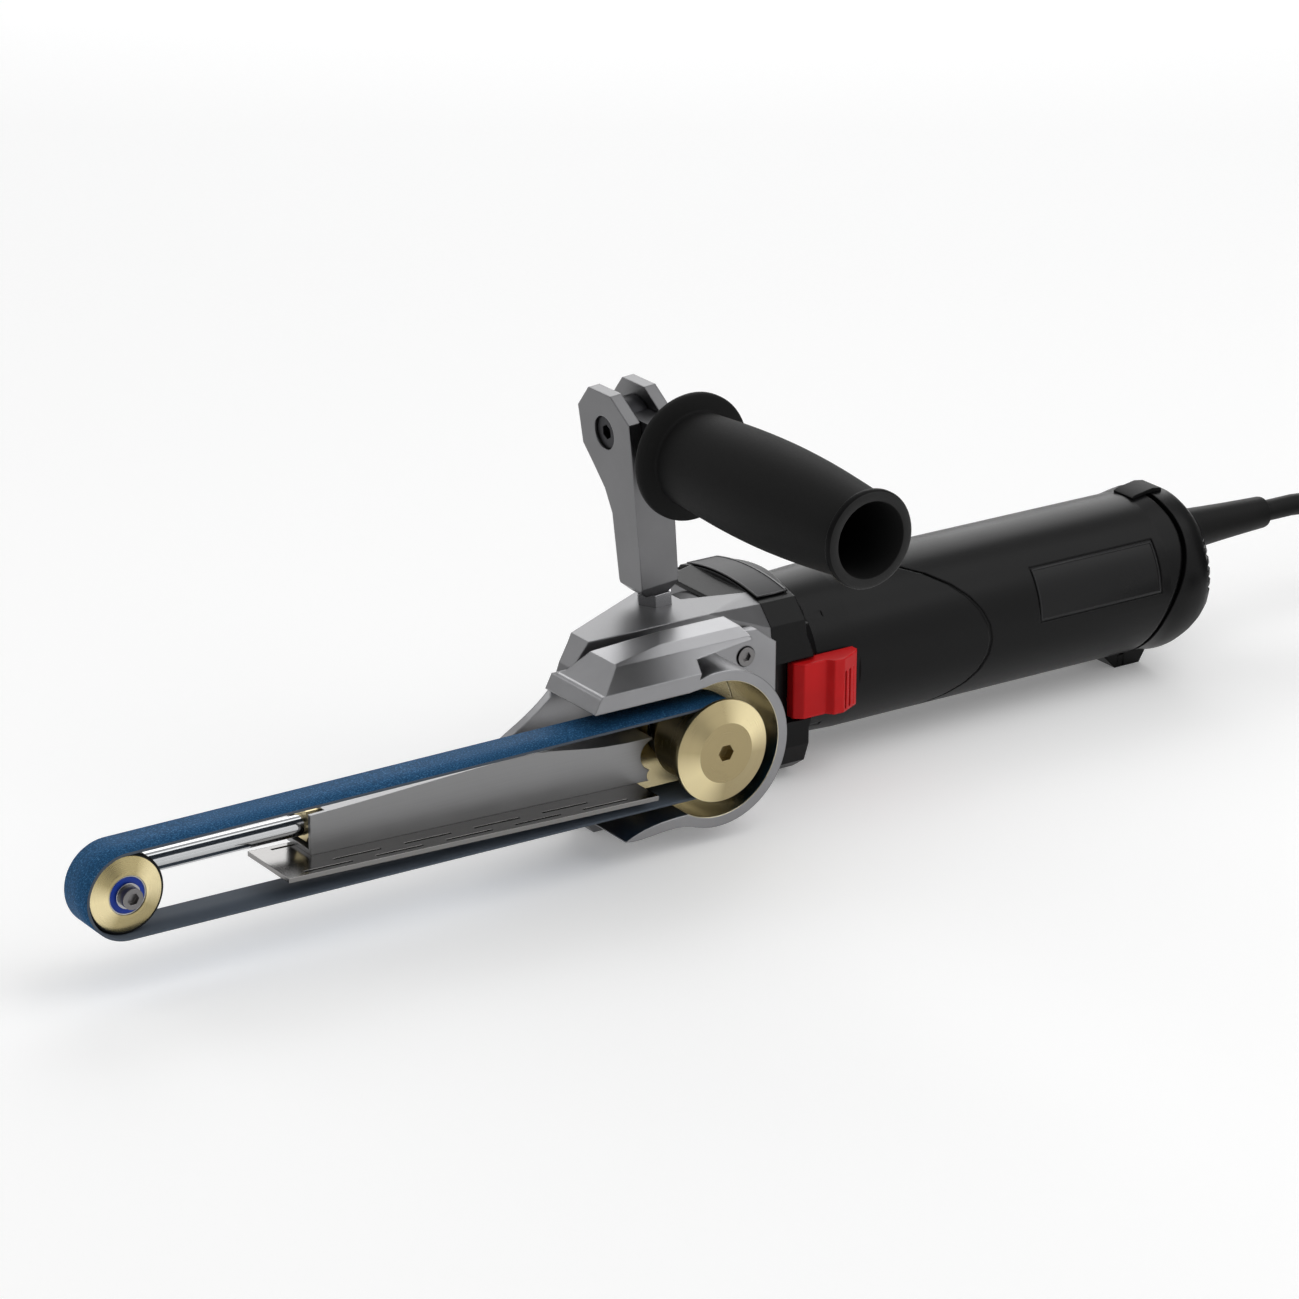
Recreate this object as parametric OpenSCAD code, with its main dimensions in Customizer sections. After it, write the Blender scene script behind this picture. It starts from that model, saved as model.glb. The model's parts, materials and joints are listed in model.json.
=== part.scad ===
// Power file: a narrow belt sander with a side handle, for one or two hands.
// The tool lies along X with its tip at -X and its lead at +X.
// The open side of the belt guard faces -Y and the side handle points to -Y.

/* [Belt] */
// Length of the abrasive belt round its outer face
belt_length = 533; // [500:1:570]
// Width of the belt
belt_width = 15; // [10:0.5:16]
// Thickness of the belt
belt_thick = 0.9; // [0.6:0.1:1.2]

/* [Wheels] */
// Radius of the tip wheel over its tyre
tip_wheel_r = 13.3; // [12:0.1:14.2]
// Thickness of the tyre on the tip wheel
tyre_thick = 0.9; // [0.6:0.1:1.5]
// Radius of the drive drum under the belt
drum_r = 14.7; // [13.5:0.1:15.5]
// How far the drum's outer flange stands above the drum
drum_flange_rise = 3; // [1.5:0.1:4]
// Radius of the flat disc in the middle of the drum's face
drum_disc_r = 10.2; // [7:0.1:12]
// Outside radius of the small bearings in the tip wheel
tip_bearing_r = 6.5; // [5.5:0.1:7.5]
// Radius of the tip wheel's axle
tip_axle_r = 2.95; // [2.4:0.05:3.4]

/* [Arm] */
// Radius of the sliding rod
rod_r = 3.5; // [2.8:0.1:4]
// Width of the arm, across the belt
arm_width = 15; // [13:0.5:15.5]
// Height of the arm at its front end
arm_front_h = 13.4; // [12.4:0.1:15]
// Distance from the tip axle to the front of the arm
arm_reach = 70; // [60:1:80]
// Travel of the rod when a belt is changed
tension_travel = 10; // [4:0.5:12]
// Width of the platen
platen_width = 26; // [24:0.5:28]
// Thickness of the platen
platen_thick = 1.6; // [1:0.1:2.2]
// Slope of the platen towards the drive drum, in degrees
platen_slope = 1.6; // [0.8:0.1:1.8]

/* [Guard] */
// Inside radius of the guard's ring round the drum
guard_r = 23.6; // [21:0.1:24.5]
// Wall of the guard's ring
guard_wall = 3.7; // [2.5:0.1:4.5]
// Thickness of the guard's back wall
guard_back = 3.5; // [2.5:0.1:5]

/* [Gear head] */
// Half the width of the head where it meets the motor housing
collar_half = 33; // [32.5:0.5:36]
// Distance from the drum's axis to the motor housing
collar_x = 43; // [42:0.5:48]
// Distance from the belt's middle to the motor's axis
motor_y = 54; // [54:0.5:58]
// Teeth on the crown gear
crown_teeth = 18; // [18:3:21]
// Teeth on the pinion
pinion_teeth = 12; // [10:1:12]
// Radius of the drive spindle
spindle_r = 5; // [4:0.1:5.5]

/* [Motor housing] */
// Radius of the round part of the motor housing
body_r = 29; // [28.5:0.1:32]
// Wall of the motor housing
body_wall = 3; // [2:0.1:3.2]
// Length of the motor housing with its rear cap
body_length = 199; // [196:1:230]
// Radius of the motor's shaft
shaft_r = 5; // [4:0.1:5.5]

/* [Handle] */
// Height of the handle's pivot above the motor's axis
pivot_z = 94.8; // [90:0.2:110]
// Length of the grip
grip_length = 100; // [90:1:120]
// Radius of the grip where it is fattest
grip_r = 17.6; // [15:0.1:20]
// Radius of the grip's flange
grip_flange_r = 21.6; // [20:0.1:26]
// Radius of the hollow in the grip's end
grip_hollow_r = 12.4; // [9:0.1:13]
// Forward lean of the handle's bracket, in degrees
bracket_lean = 4.5; // [0:0.5:8]

/* [Lead] */
// Radius of the mains lead
cord_r = 4; // [3:0.1:4]
// Turns of the put-away lead in each layer
coil_turns = 3; // [2:1:4]

/* [Hidden] */
$fn = 96;
running = 0.05;
slack = 0.3;

// The belt's loop: two wheels and the straight runs between them
tip_loop_r = tip_wheel_r + slack;
drum_loop_r = drum_r + slack;
wheel_gap = (belt_length - PI * (tip_loop_r + drum_loop_r + 2 * belt_thick)) / 2;
tip_x = -wheel_gap;
run_angle = asin((drum_loop_r - tip_loop_r) / wheel_gap);

// The drive drum along its axis
drum_half = belt_width / 2 + 0.8;
drum_flange_r = drum_r + drum_flange_rise;
drum_flange_rim = 1.3;
drum_face_y = -(drum_half + drum_flange_rim + 2.3);
drum_hub_r = 9;
spindle_nose_r = spindle_r - 1;

// The tip wheel along its axis
tip_half = belt_width / 2 - 1;
tip_hub_r = tip_wheel_r - tyre_thick;
tip_bearing_w = 4.6;
tip_bearing_face = tip_half - slack;
washer_r = tip_axle_r + 1.25;
washer_thick = 0.7;
washer_face = tip_bearing_face + 0.1;
screw_head_r = tip_axle_r + 0.5;
screw_head_h = 3;

// The rod and its block on the far side of the tip wheel
rod_y = belt_width / 2 + rod_r - 0.5;
rod_z = 1.2;
block_near = tip_half + 0.4;
block_far = rod_y + rod_r + 2.4;
rod_front_x = tip_x + tip_axle_r + 1.5;

// The arm: a straight box at the front that swells towards the guard
arm_front_x = tip_x + arm_reach;
arm_far = rod_y + 7.5;
arm_near = arm_far - arm_width;
arm_rear_x = -drum_flange_r - 1.6;
rod_end_x = arm_front_x + 0.4 * (arm_rear_x - arm_front_x);
arm_bottom_z = rod_z + 0.1 - arm_front_h / 2 - 1.2;
arm_top_z = arm_bottom_z + arm_front_h;
arm_wall = 1.5;
pocket_depth = 6;
bore_r = rod_r + 1.1;
spring_wire_r = 0.55;
spring_r = bore_r - 1;
spring_turns = 7;
spring_length = tension_travel + 14;
bore_end_x = rod_end_x + spring_length + slack;

// The guard between its open rim and the gear housing
guard_near = -(belt_width / 2 + 0.5);
back_near = arm_far;
head_near = back_near + guard_back;
guard_out_r = guard_r + guard_wall;
roof_inner_z = guard_r - 1.2;
nose_x = -80;

// The gear head and its inner parts
head_far = motor_y + collar_half;
floor_z = -collar_half;
head_top = collar_half + 2;
crown_angle = atan(crown_teeth / pinion_teeth);
cone_out = 20;
cone_in = 14;
tooth_rise = 1;
tooth_root = 1.4;
tooth_width = 1.3;
bearing_r = 13;
bearing_w = 8;
near_bearing_y = head_near + 1;
far_bearing_y = motor_y + 8;
far_bearing_r = spindle_r + 3;
head_end_y = far_bearing_y + bearing_w + 2.4;
head_front_x = -42;
head_r = 25;
arch_y = head_near + 17;
lip_x = collar_x - 10;
lip_z = collar_half - 4.6;
flare_r = lip_z - slack;
crown_r = 90;
crown_z = collar_half + 0.5;
recess_r = 24;
plate_x = collar_x - 9;
guard_screw_spots = [[collar_x - 14.4, 18.4], [collar_x - 9.5, -18.8], [-30, -16]];
corner_screw = collar_half - 10.5;

// The motor along its axis, from the gear head to the rear cap
body_end_x = collar_x + body_length;
body_in_r = body_r - body_wall;
collar_end_x = collar_x + 14.5;
fan_x = collar_x + 4;
fan_w = 9;
stator_r = body_in_r - 1.7;
stator_x = collar_x + 23;
stator_end_x = stator_x + 0.3 * body_length;
coil_end = 8;
armature_r = stator_r * 0.675;
commutator_x = stator_end_x + 11;
commutator_end_x = commutator_x + 15;
commutator_r = 10;
web_x = commutator_end_x + 8;
web_end_x = web_x + 11;
rear_bearing_r = 9.5;
rear_bearing_w = 7;
module_end_x = web_end_x + 0.135 * body_length;

// The slide switch on the near side of the housing
switch_x = collar_x + 8;
switch_length = 27;
switch_travel = 6;
switch_floor_y = motor_y - body_r + 0.4;
link_y = motor_y - body_in_r + 0.7;
link_thick = 0.7;

// The side handle: its pivot, and the grip along Y
pivot_y = motor_y - 2.5;
pivot_x = 2.9;
ear_half = 9;
ear_gap_half = 4.5;
ear_sink_r = 5.8;
ear_sink_x = 2.8 - ear_half;
pivot_r = 2.9;
pivot_head_x = ear_sink_x - 1.8;
stem_low = pivot_z - head_top - 4.4;
grip_start_y = pivot_y - 36;
grip_end_y = grip_start_y - grip_length;

// The strain relief and the lead, laid down behind the tool
relief_z = 10;
relief_x = body_end_x - 3;
relief_end_x = body_end_x + 45;
relief_r = 7;
cord_rest_z = floor_z + cord_r + 2;
coil_x = relief_end_x + 133;
coil_pitch = 2 * cord_r + 1.8;
coil_layer = 2 * cord_r + 1.4;
coil_mid_r = 46;
coil_out_r = coil_mid_r + coil_pitch * coil_turns / 2;
coil_y = motor_y - coil_out_r;
coil_top_z = cord_rest_z + 3 * coil_layer;
plug_r = 18.5;
plug_z = floor_z + plug_r;
plug_x = coil_x - 130;
plug_y = coil_y - coil_out_r;

// Route of the lead from the strain relief to the coil: distance behind the relief, and fall
cord_lay = [[0, 0], [14, 0], [26, 1], [38, 4], [50, 10], [62, 18.5], [74, 27], [86, 33], [98, 36], [110, 37],
    [125, 37]];
cord_fall = (relief_z - cord_rest_z) / 37;
cord_route = [for (p = cord_lay) [relief_end_x + p[0], motor_y, relief_z - p[1] * cord_fall]];
// Route of the lead's end from the coil to the plug: distance before the coil's middle, and height
tail_lay = [[20, 0], [30, -2], [40, -5], [50, -8], [60, -11], [70, -13], [80, -14]];
tail_route = concat([[coil_x - 2 * cord_r, plug_y, coil_top_z]],
    [for (p = tail_lay) [coil_x - p[0], plug_y, p[1]]], [[plug_x + 40, plug_y, plug_z]]);

// The part stands on its underside with its origin under the middle of its box
box_low = [tip_x - tip_loop_r - belt_thick, grip_end_y, floor_z];
box_high = [relief_end_x, head_far, 0];
place = [-(box_low[0] + box_high[0]) / 2, -(box_low[1] + box_high[1]) / 2, -box_low[2]];

// Helpers: profiles drawn in one plane and carried along an axis
module stand() {
    translate(place)
        children();
}

module along_x(x0, x1) {
    translate([x0, 0, 0])
        rotate([90, 0, 90])
            linear_extrude(x1 - x0)
                children();
}

module along_y(y0, y1) {
    translate([0, y1, 0])
        rotate([90, 0, 0])
            linear_extrude(y1 - y0)
                children();
}

module bar_x(r, x0, x1, y = 0, z = 0) {
    translate([x0, y, z])
        rotate([0, 90, 0])
            cylinder(r = r, h = x1 - x0);
}

module bar_y(r, y0, y1, x = 0, z = 0) {
    translate([x, y0, z])
        rotate([-90, 0, 0])
            cylinder(r = r, h = y1 - y0);
}

module turned_y(points, x = 0, z = 0) {
    translate([x, 0, z])
        rotate([-90, 0, 0])
            rotate_extrude()
                polygon(points);
}

module turned_x(points, y = motor_y, z = 0) {
    translate([0, y, z])
        rotate([0, 90, 0])
            rotate_extrude()
                polygon(points);
}

module box(low, high) {
    translate(low)
        cube(high - low);
}

// A ring whose end faces show an inner and an outer race
function race_profile(bore, outer, low, high) =
    let (step = (outer - bore) * 0.28, dip = 0.5)
    [[bore, low], [bore + step, low], [bore + step, low + dip], [outer - step, low + dip],
    [outer - step, low], [outer, low], [outer, high], [outer - step, high], [outer - step, high - dip],
    [bore + step, high - dip], [bore + step, high], [bore, high]];

// A cubic curve from a to d, pulled towards b and c
function curve(a, b, c, d, steps) =
    [for (i = [0 : steps]) let (t = i / steps, s = 1 - t)
        s * s * s * a + 3 * s * s * t * b + 3 * s * t * t * c + t * t * t * d];

// A tube with a regular section, swept along a list of points
function unit(v) = v / norm(v);
function route_heading(path, i) =
    i == 0 ? unit(path[1] - path[0]) :
    i == len(path) - 1 ? unit(path[i] - path[i - 1]) : unit(path[i + 1] - path[i - 1]);

module swept_tube(path, r, sides) {
    last = len(path) - 1;
    rings = [for (i = [0 : last]) let (ahead = route_heading(path, i), side = unit(cross([0, 0, 1], ahead)),
        up = cross(ahead, side)) for (k = [0 : sides - 1]) let (a = 360 * (k + 0.5) / sides)
            path[i] + r * (cos(a) * side + sin(a) * up)];
    walls = [for (i = [0 : last - 1]) for (k = [0 : sides - 1]) let (n = (k + 1) % sides, a = i * sides,
        b = a + sides)
        each [[a + k, b + k, b + n], [a + k, b + n, a + n]]];
    near_cap = [for (k = [1 : sides - 2]) [0, k, k + 1]];
    far_cap = [for (k = [1 : sides - 2]) [last * sides, last * sides + k + 1, last * sides + k]];
    polyhedron(points = rings, faces = concat(walls, near_cap, far_cap));
}

// Belt, wheels and spindle
function bend(r, x, from, to, steps) = [for (i = [0 : steps]) let (a = from + (to - from) * i / steps)
    [x + r * cos(a), r * sin(a)]];
function belt_loop(grow) = concat(bend(drum_loop_r + grow, 0, -90 - run_angle, 90 + run_angle, 40),
    bend(tip_loop_r + grow, tip_x, 90 + run_angle, 270 - run_angle, 40));

module abrasive_belt() {
    color("steelblue")
        along_y(-belt_width / 2, belt_width / 2)
            difference() {
                polygon(belt_loop(belt_thick));
                polygon(belt_loop(0));
            }
}

module drive_drum() {
    rim_y = -drum_half - drum_flange_rim;
    socket_depth = 3.4;
    color("darkkhaki")
        difference() {
            turned_y([[0, drum_face_y], [drum_disc_r, drum_face_y], [drum_flange_r, rim_y],
                [drum_flange_r, -drum_half], [drum_r, -drum_half], [drum_r, drum_half],
                [drum_hub_r, drum_half], [drum_hub_r, back_near], [spindle_nose_r, back_near],
                [spindle_nose_r, -drum_half + 3], [0, -drum_half + 3]]);
            translate([0, drum_face_y - 1, 0])
                rotate([-90, 0, 0])
                    cylinder(r = 3, h = socket_depth + 1, $fn = 6);
        }
}

module output_spindle() {
    color("silver")
        turned_y([[0, -drum_half + 3], [spindle_nose_r, -drum_half + 3], [spindle_nose_r, back_near],
            [spindle_r, back_near], [spindle_r, far_bearing_y + bearing_w],
            [0, far_bearing_y + bearing_w]]);
}

// A point on a gear's root line, in (radius, distance along the crown's axis)
function crown_root(u) = [u * sin(crown_angle) - tooth_root * cos(crown_angle),
    motor_y - u * cos(crown_angle) - tooth_root * sin(crown_angle)];
function pinion_root(u) = [u * cos(crown_angle) - tooth_root * sin(crown_angle),
    u * sin(crown_angle) + tooth_root * cos(crown_angle)];

module crown_gear() {
    outer = crown_root(cone_out);
    inner = crown_root(cone_in);
    back_y = near_bearing_y + bearing_w + slack;
    color("gray")
        union() {
            turned_y([[spindle_r, back_y], [spindle_r + 3, back_y], [spindle_r + 3, outer[1] - 5],
                [outer[0] - 2, outer[1] - 5], [outer[0], outer[1] - 3], outer, inner,
                [spindle_r, inner[1]]]);
            for (i = [0 : crown_teeth - 1])
                translate([0, motor_y, 0])
                    rotate([0, i * 360 / crown_teeth, 0])
                        rotate([0, 0, crown_angle - 90])
                            translate([cone_in, -tooth_root - 0.2, -tooth_width / 2])
                                cube([cone_out - cone_in, tooth_root + 0.2 + tooth_rise, tooth_width]);
        }
}

module spindle_bearings() {
    color("lightgray")
        for (seat = [[near_bearing_y, bearing_r], [far_bearing_y, far_bearing_r]])
            turned_y(race_profile(spindle_r + running, seat[1], seat[0], seat[0] + bearing_w));
}

// Tip wheel and its sliding carriage
module tip_wheel_hub() {
    seat_lip = tip_bearing_r - 1.2;
    dish = 1.4;
    seat_end = tip_bearing_face - tip_bearing_w;
    color("darkkhaki")
        turned_y([[tip_bearing_r, -tip_half], [tip_bearing_r + 0.8, -tip_half],
            [tip_hub_r, -tip_half + dish], [tip_hub_r, tip_half - dish], [tip_bearing_r + 0.8, tip_half],
            [tip_bearing_r, tip_half], [tip_bearing_r, seat_end], [seat_lip, seat_end],
            [seat_lip, -seat_end], [tip_bearing_r, -seat_end]], tip_x);
}

module tip_wheel_tyre() {
    edge = 0.5;
    dish = 1.4;
    color("dimgray")
        turned_y([[tip_hub_r, -tip_half + dish], [tip_wheel_r - edge, -tip_half + dish],
            [tip_wheel_r, -tip_half + dish + edge], [tip_wheel_r, tip_half - dish - edge],
            [tip_wheel_r - edge, tip_half - dish], [tip_hub_r, tip_half - dish]], tip_x);
}

module tip_bearings() {
    color("royalblue")
        for (y = [-tip_bearing_face, tip_bearing_face - tip_bearing_w])
            turned_y([[tip_axle_r + running, y], [tip_bearing_r, y], [tip_bearing_r, y + tip_bearing_w],
                [tip_axle_r + running, y + tip_bearing_w]], tip_x);
}

module tip_axle_screw() {
    head_y = -washer_face - washer_thick;
    socket_r = screw_head_r * 0.6;
    color("silver")
        difference() {
            union() {
                bar_y(screw_head_r, head_y - screw_head_h, head_y, tip_x);
                bar_y(tip_axle_r, head_y, block_near, tip_x);
                bar_y(tip_axle_r - 0.45, block_near, block_far - 1, tip_x);
            }
            translate([tip_x, head_y - screw_head_h - 1, 0])
                rotate([-90, 0, 0])
                    cylinder(r = socket_r, h = 2.8, $fn = 6);
        }
}

module tip_washer() {
    color("gainsboro")
        difference() {
            bar_y(washer_r, -washer_face - washer_thick, -washer_face, tip_x);
            bar_y(tip_axle_r, -washer_face - washer_thick - 1, -washer_face + 1, tip_x);
        }
}

module axle_block() {
    half_h = rod_r + 2.2;
    nose_r = half_h + rod_z;
    color("gray")
        difference() {
            union() {
                bar_y(nose_r - 1.2, block_near, block_far, tip_x);
                box([tip_x, block_near, rod_z - half_h + 1], [tip_x + 10, block_far, rod_z + half_h - 1]);
            }
            bar_y(tip_axle_r - 0.45, block_near - 1, block_far + 1, tip_x);
            bar_x(rod_r, rod_front_x, tip_x + 20, rod_y, rod_z);
        }
}

module tension_rod() {
    color("whitesmoke")
        bar_x(rod_r, rod_front_x, rod_end_x, rod_y, rod_z);
}

// A compression spring behind the rod, wound as one wire
spring_path = [for (i = [0 : 16 * spring_turns]) let (a = 360 * i / 16)
    [rod_end_x + spring_wire_r + 0.1 + i / (16 * spring_turns) * (spring_length - 2 * spring_wire_r - 0.1),
     rod_y + spring_r * cos(a), rod_z + spring_r * sin(a)]];

module tension_spring() {
    color("silver")
        swept_tube(spring_path, spring_wire_r, 6);
}

module rod_bush() {
    hex_r = 5.9;
    sleeve = 12;
    color("darkkhaki")
        difference() {
            union() {
                translate([arm_front_x + pocket_depth - 5, rod_y, rod_z])
                    rotate([0, 90, 0])
                        rotate([0, 0, 30])
                            cylinder(r = hex_r, h = 5, $fn = 6);
                bar_x(bore_r, arm_front_x + pocket_depth - 1, arm_front_x + pocket_depth + sleeve, rod_y,
                    rod_z);
            }
            bar_x(rod_r + running, arm_front_x - 1, arm_front_x + pocket_depth + sleeve + 1, rod_y, rod_z);
        }
}

// Side outline of the arm: a straight floor along the platen and a swelling top
platen_fall = tan(platen_slope);
function arm_floor(x) = arm_bottom_z - (x - arm_front_x) * platen_fall;
arm_mid_x = arm_front_x * 0.47;
arm_swell_z = arm_top_z + 2.6;
arm_rear_z = arm_top_z - 2;

module arm_outline() {
    crest = curve([arm_front_x, arm_top_z], [arm_front_x * 0.8, arm_top_z + 0.6],
        [arm_front_x * 0.62, arm_swell_z], [arm_mid_x, arm_swell_z], 8);
    fall = curve([arm_mid_x, arm_swell_z], [arm_mid_x * 0.75, arm_swell_z], [arm_mid_x * 0.7, arm_rear_z],
        [arm_rear_x, arm_rear_z], 8);
    polygon(concat([[arm_rear_x, arm_floor(arm_rear_x)], [arm_front_x, arm_bottom_z]], crest,
        [for (i = [1 : len(fall) - 1]) fall[i]]));
}

// Seats of the screws that hold the arm to the guard's back wall
arm_screw_x = max(bore_end_x + 6, nose_x + 14);
arm_screw_spots = [[arm_screw_x, rod_z - 1.5], [(arm_screw_x + arm_rear_x) / 2, rod_z - 3]];
platen_screw_xs = [arm_front_x + 12, arm_front_x * 0.55, arm_front_x * 0.22];

module arm() {
    color("darkgray")
        difference() {
            along_y(arm_near, arm_far)
                arm_outline();
            box([arm_front_x - 1, arm_near + arm_wall, arm_bottom_z + arm_wall],
                [arm_front_x + pocket_depth, arm_far - arm_wall, arm_top_z + 1]);
            bar_x(bore_r, arm_front_x, bore_end_x, rod_y, rod_z);
            // Scalloped rear end that clears the drum
            bar_y(5.5, arm_near - 1, arm_far + 1, arm_rear_x + 1, rod_z - 2.5);
            bar_y(2.4, arm_near - 1, arm_far + 1, arm_rear_x + 0.4, rod_z - 9.6);
            for (spot = arm_screw_spots)
                bar_y(2, arm_far - 8, arm_far + 1, spot[0], spot[1]);
            for (x = platen_screw_xs)
                translate([x, rod_y, arm_floor(x) - 1])
                    cylinder(r = 1.5, h = 3.6);
        }
}

// The platen lies along the arm's floor
platen_near = (arm_near + arm_far) / 2 - 7.5 - platen_width / 2;
platen_far = platen_near + platen_width;
platen_lead = 15.5;
platen_length = arm_rear_x - arm_front_x + platen_lead - 6;

module on_platen() {
    translate([arm_front_x, 0, arm_bottom_z])
        rotate([0, platen_slope, 0])
            children();
}

module platen() {
    slot_pitch = (platen_length - 9) / 5;
    slot_length = slot_pitch * 0.67;
    slot_width = 1.1;
    row_edge = 2.6;
    row_step = 4.2;
    color("lightgray")
        difference() {
            on_platen()
                difference() {
                    box([-platen_lead, platen_near, -platen_thick],
                        [platen_length - platen_lead, platen_far, 0]);
                    for (row = [0 : 1], i = [0 : 4], side = [0 : 1])
                        let (y = side == 0 ?
                            platen_near + row_edge + row * row_step : platen_far - row_edge - row * row_step,
                            x = -platen_lead + 7 + i * slot_pitch + row * slot_pitch / 2)
                            if (x + slot_length < platen_length - platen_lead - 3)
                                box([x, y - slot_width / 2, -platen_thick - 1],
                                    [x + slot_length, y + slot_width / 2, 1]);
                }
            for (x = platen_screw_xs)
                translate([x, rod_y, arm_floor(x) - platen_thick - 1])
                    cylinder(r = 1.5, h = platen_thick + 2);
            for (x = platen_screw_xs)
                translate([x, rod_y, arm_floor(x) - platen_thick - 0.2])
                    cylinder(r1 = 2.9, r2 = 1.5, h = 1.4);
        }
}

module platen_screws() {
    color("gray")
        for (x = platen_screw_xs)
            translate([x, rod_y, arm_floor(x) - platen_thick - 0.2]) {
                cylinder(r1 = 2.9, r2 = 1.5, h = 1.4);
                cylinder(r = 1.5, h = platen_thick + 2.6);
            }
}

module arm_screws() {
    color("gray")
        for (spot = arm_screw_spots) {
            bar_y(2, arm_far - 7, head_near, spot[0], spot[1]);
            bar_y(3.6, head_near - 2, head_near, spot[0], spot[1]);
        }
}

// Belt guard: an open trough round the drum with a faceted roof
module guard_outside() {
    tail = curve([-37, -24.6], [-30, -26.4], [-20, -22.4], [-10, -25.2], 8);
    circle(guard_out_r);
    polygon([[-49, roof_inner_z], [-46, guard_out_r + 0.8], [0, guard_out_r + 0.8], [0, 0], [-49, 0]]);
    polygon(concat(tail, [[0, -guard_out_r], [0, 0], [-37, 0]]));
}

module guard_inside() {
    tail = curve([-37, -24.6], [-30, -21.4], [-24, -20.4], [-12, -20.4], 8);
    circle(guard_r);
    polygon(concat(tail, [[0, -guard_r], [0, guard_r], [-12, roof_inner_z], [-60, roof_inner_z],
        [-60, -24.6]]));
}

// The back wall reaches forward beside the arm with a swept nose
module back_wall_outline() {
    upper = curve([nose_x, -2], [-68, 11], [-59, 10.5], [-46.5, 23], 10);
    lower = curve([-37, -24.6], [-58, -23], [-78, -14], [nose_x, -2], 10);
    edge_x = collar_x - 2;
    polygon(concat(upper, [[-44.5, guard_out_r], [20, guard_out_r + 0.8], [edge_x - 8, guard_out_r],
        [edge_x, guard_out_r - 6], [edge_x, 6 - guard_out_r], [edge_x - 8, -guard_out_r],
        [0, -guard_out_r]], lower));
}

module guard_roof() {
    brow = head_top + 0.8;
    roof_end = 17.5;
    intersection() {
        along_x(-49, roof_end)
            polygon([[guard_near, roof_inner_z], [guard_near, guard_out_r + 0.9], [0, head_top - 1.2],
                [6, brow - 0.4], [back_near - 2.5, brow], [back_near - 0.5, guard_out_r + 1.6],
                [head_near, guard_out_r], [head_near, 0], [guard_near, 0]]);
        along_y(guard_near, head_near)
            polygon([[-49, roof_inner_z], [-46.5, guard_out_r], [-35, head_top - 0.8], [-8, brow],
                [roof_end, brow], [roof_end, guard_r * 0.7], [0, guard_r], [-12, roof_inner_z]]);
    }
}

// Scoop under the roof's rear end, round the screw
module guard_scoop() {
    along_y(guard_near - 1, back_near)
        difference() {
            polygon([[-9, guard_r], [-6, head_top - 3.6], [20, head_top - 2], [collar_x + 2, head_top - 2],
                [collar_x + 2, 0], [guard_r, 0]]);
            circle(guard_out_r);
        }
}

module belt_guard() {
    color("silver")
        difference() {
            union() {
                along_y(guard_near, back_near + 1)
                    guard_outside();
                along_y(back_near, head_near)
                    back_wall_outline();
                guard_roof();
            }
            along_y(guard_near - 1, back_near)
                guard_inside();
            guard_scoop();
            bar_y(drum_hub_r + 2, back_near - 1, head_near + 1);
            for (spot = guard_screw_spots) {
                bar_y(2.2, back_near - 1, head_near + 1, spot[0], spot[1]);
                bar_y(3.6, back_near - 1, head_near - 2, spot[0], spot[1]);
            }
            for (spot = arm_screw_spots) {
                bar_y(2, back_near - 1, head_near + 1, spot[0], spot[1]);
                bar_y(3.6, head_near - 2, head_near + 1, spot[0], spot[1]);
            }
        }
}

module guard_screws() {
    color("gray")
        for (spot = guard_screw_spots)
            difference() {
                union() {
                    bar_y(3.3, back_near - 0.6, head_near - 2, spot[0], spot[1]);
                    bar_y(2, head_near - 2, head_near + 9, spot[0], spot[1]);
                }
                translate([spot[0], back_near - 1, spot[1]])
                    rotate([-90, 0, 0])
                        cylinder(r = 1.7, h = 1.4, $fn = 6);
            }
}

// Gear housing: plan, side and end outlines cut the casting's facets
module collar_outline() {
    near_x = -collar_half;
    far_x = collar_half;
    translate([motor_y, 0])
        intersection() {
            polygon([[near_x, 4], [near_x + 3, 23.8], [near_x + 9.3, 30.3], [near_x + 13, crown_z],
                [far_x - 13, crown_z], [far_x - 9.3, 30.3], [far_x - 3, 23.8], [far_x, 4], [far_x, -18],
                [far_x - 4, -27], [far_x - 11, 1.5 - collar_half], [far_x - 19, -collar_half],
                [near_x + 19, -collar_half], [near_x + 9, 1.5 - collar_half], [near_x + 2.5, -27],
                [near_x, -20]]);
            translate([0, crown_z - crown_r])
                circle(crown_r);
        }
}

module on_bracket() {
    translate([pivot_x, pivot_y, pivot_z])
        rotate([0, -bracket_lean, 0])
            children();
}

stem_y = -10;
stud_r = 4;

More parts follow.
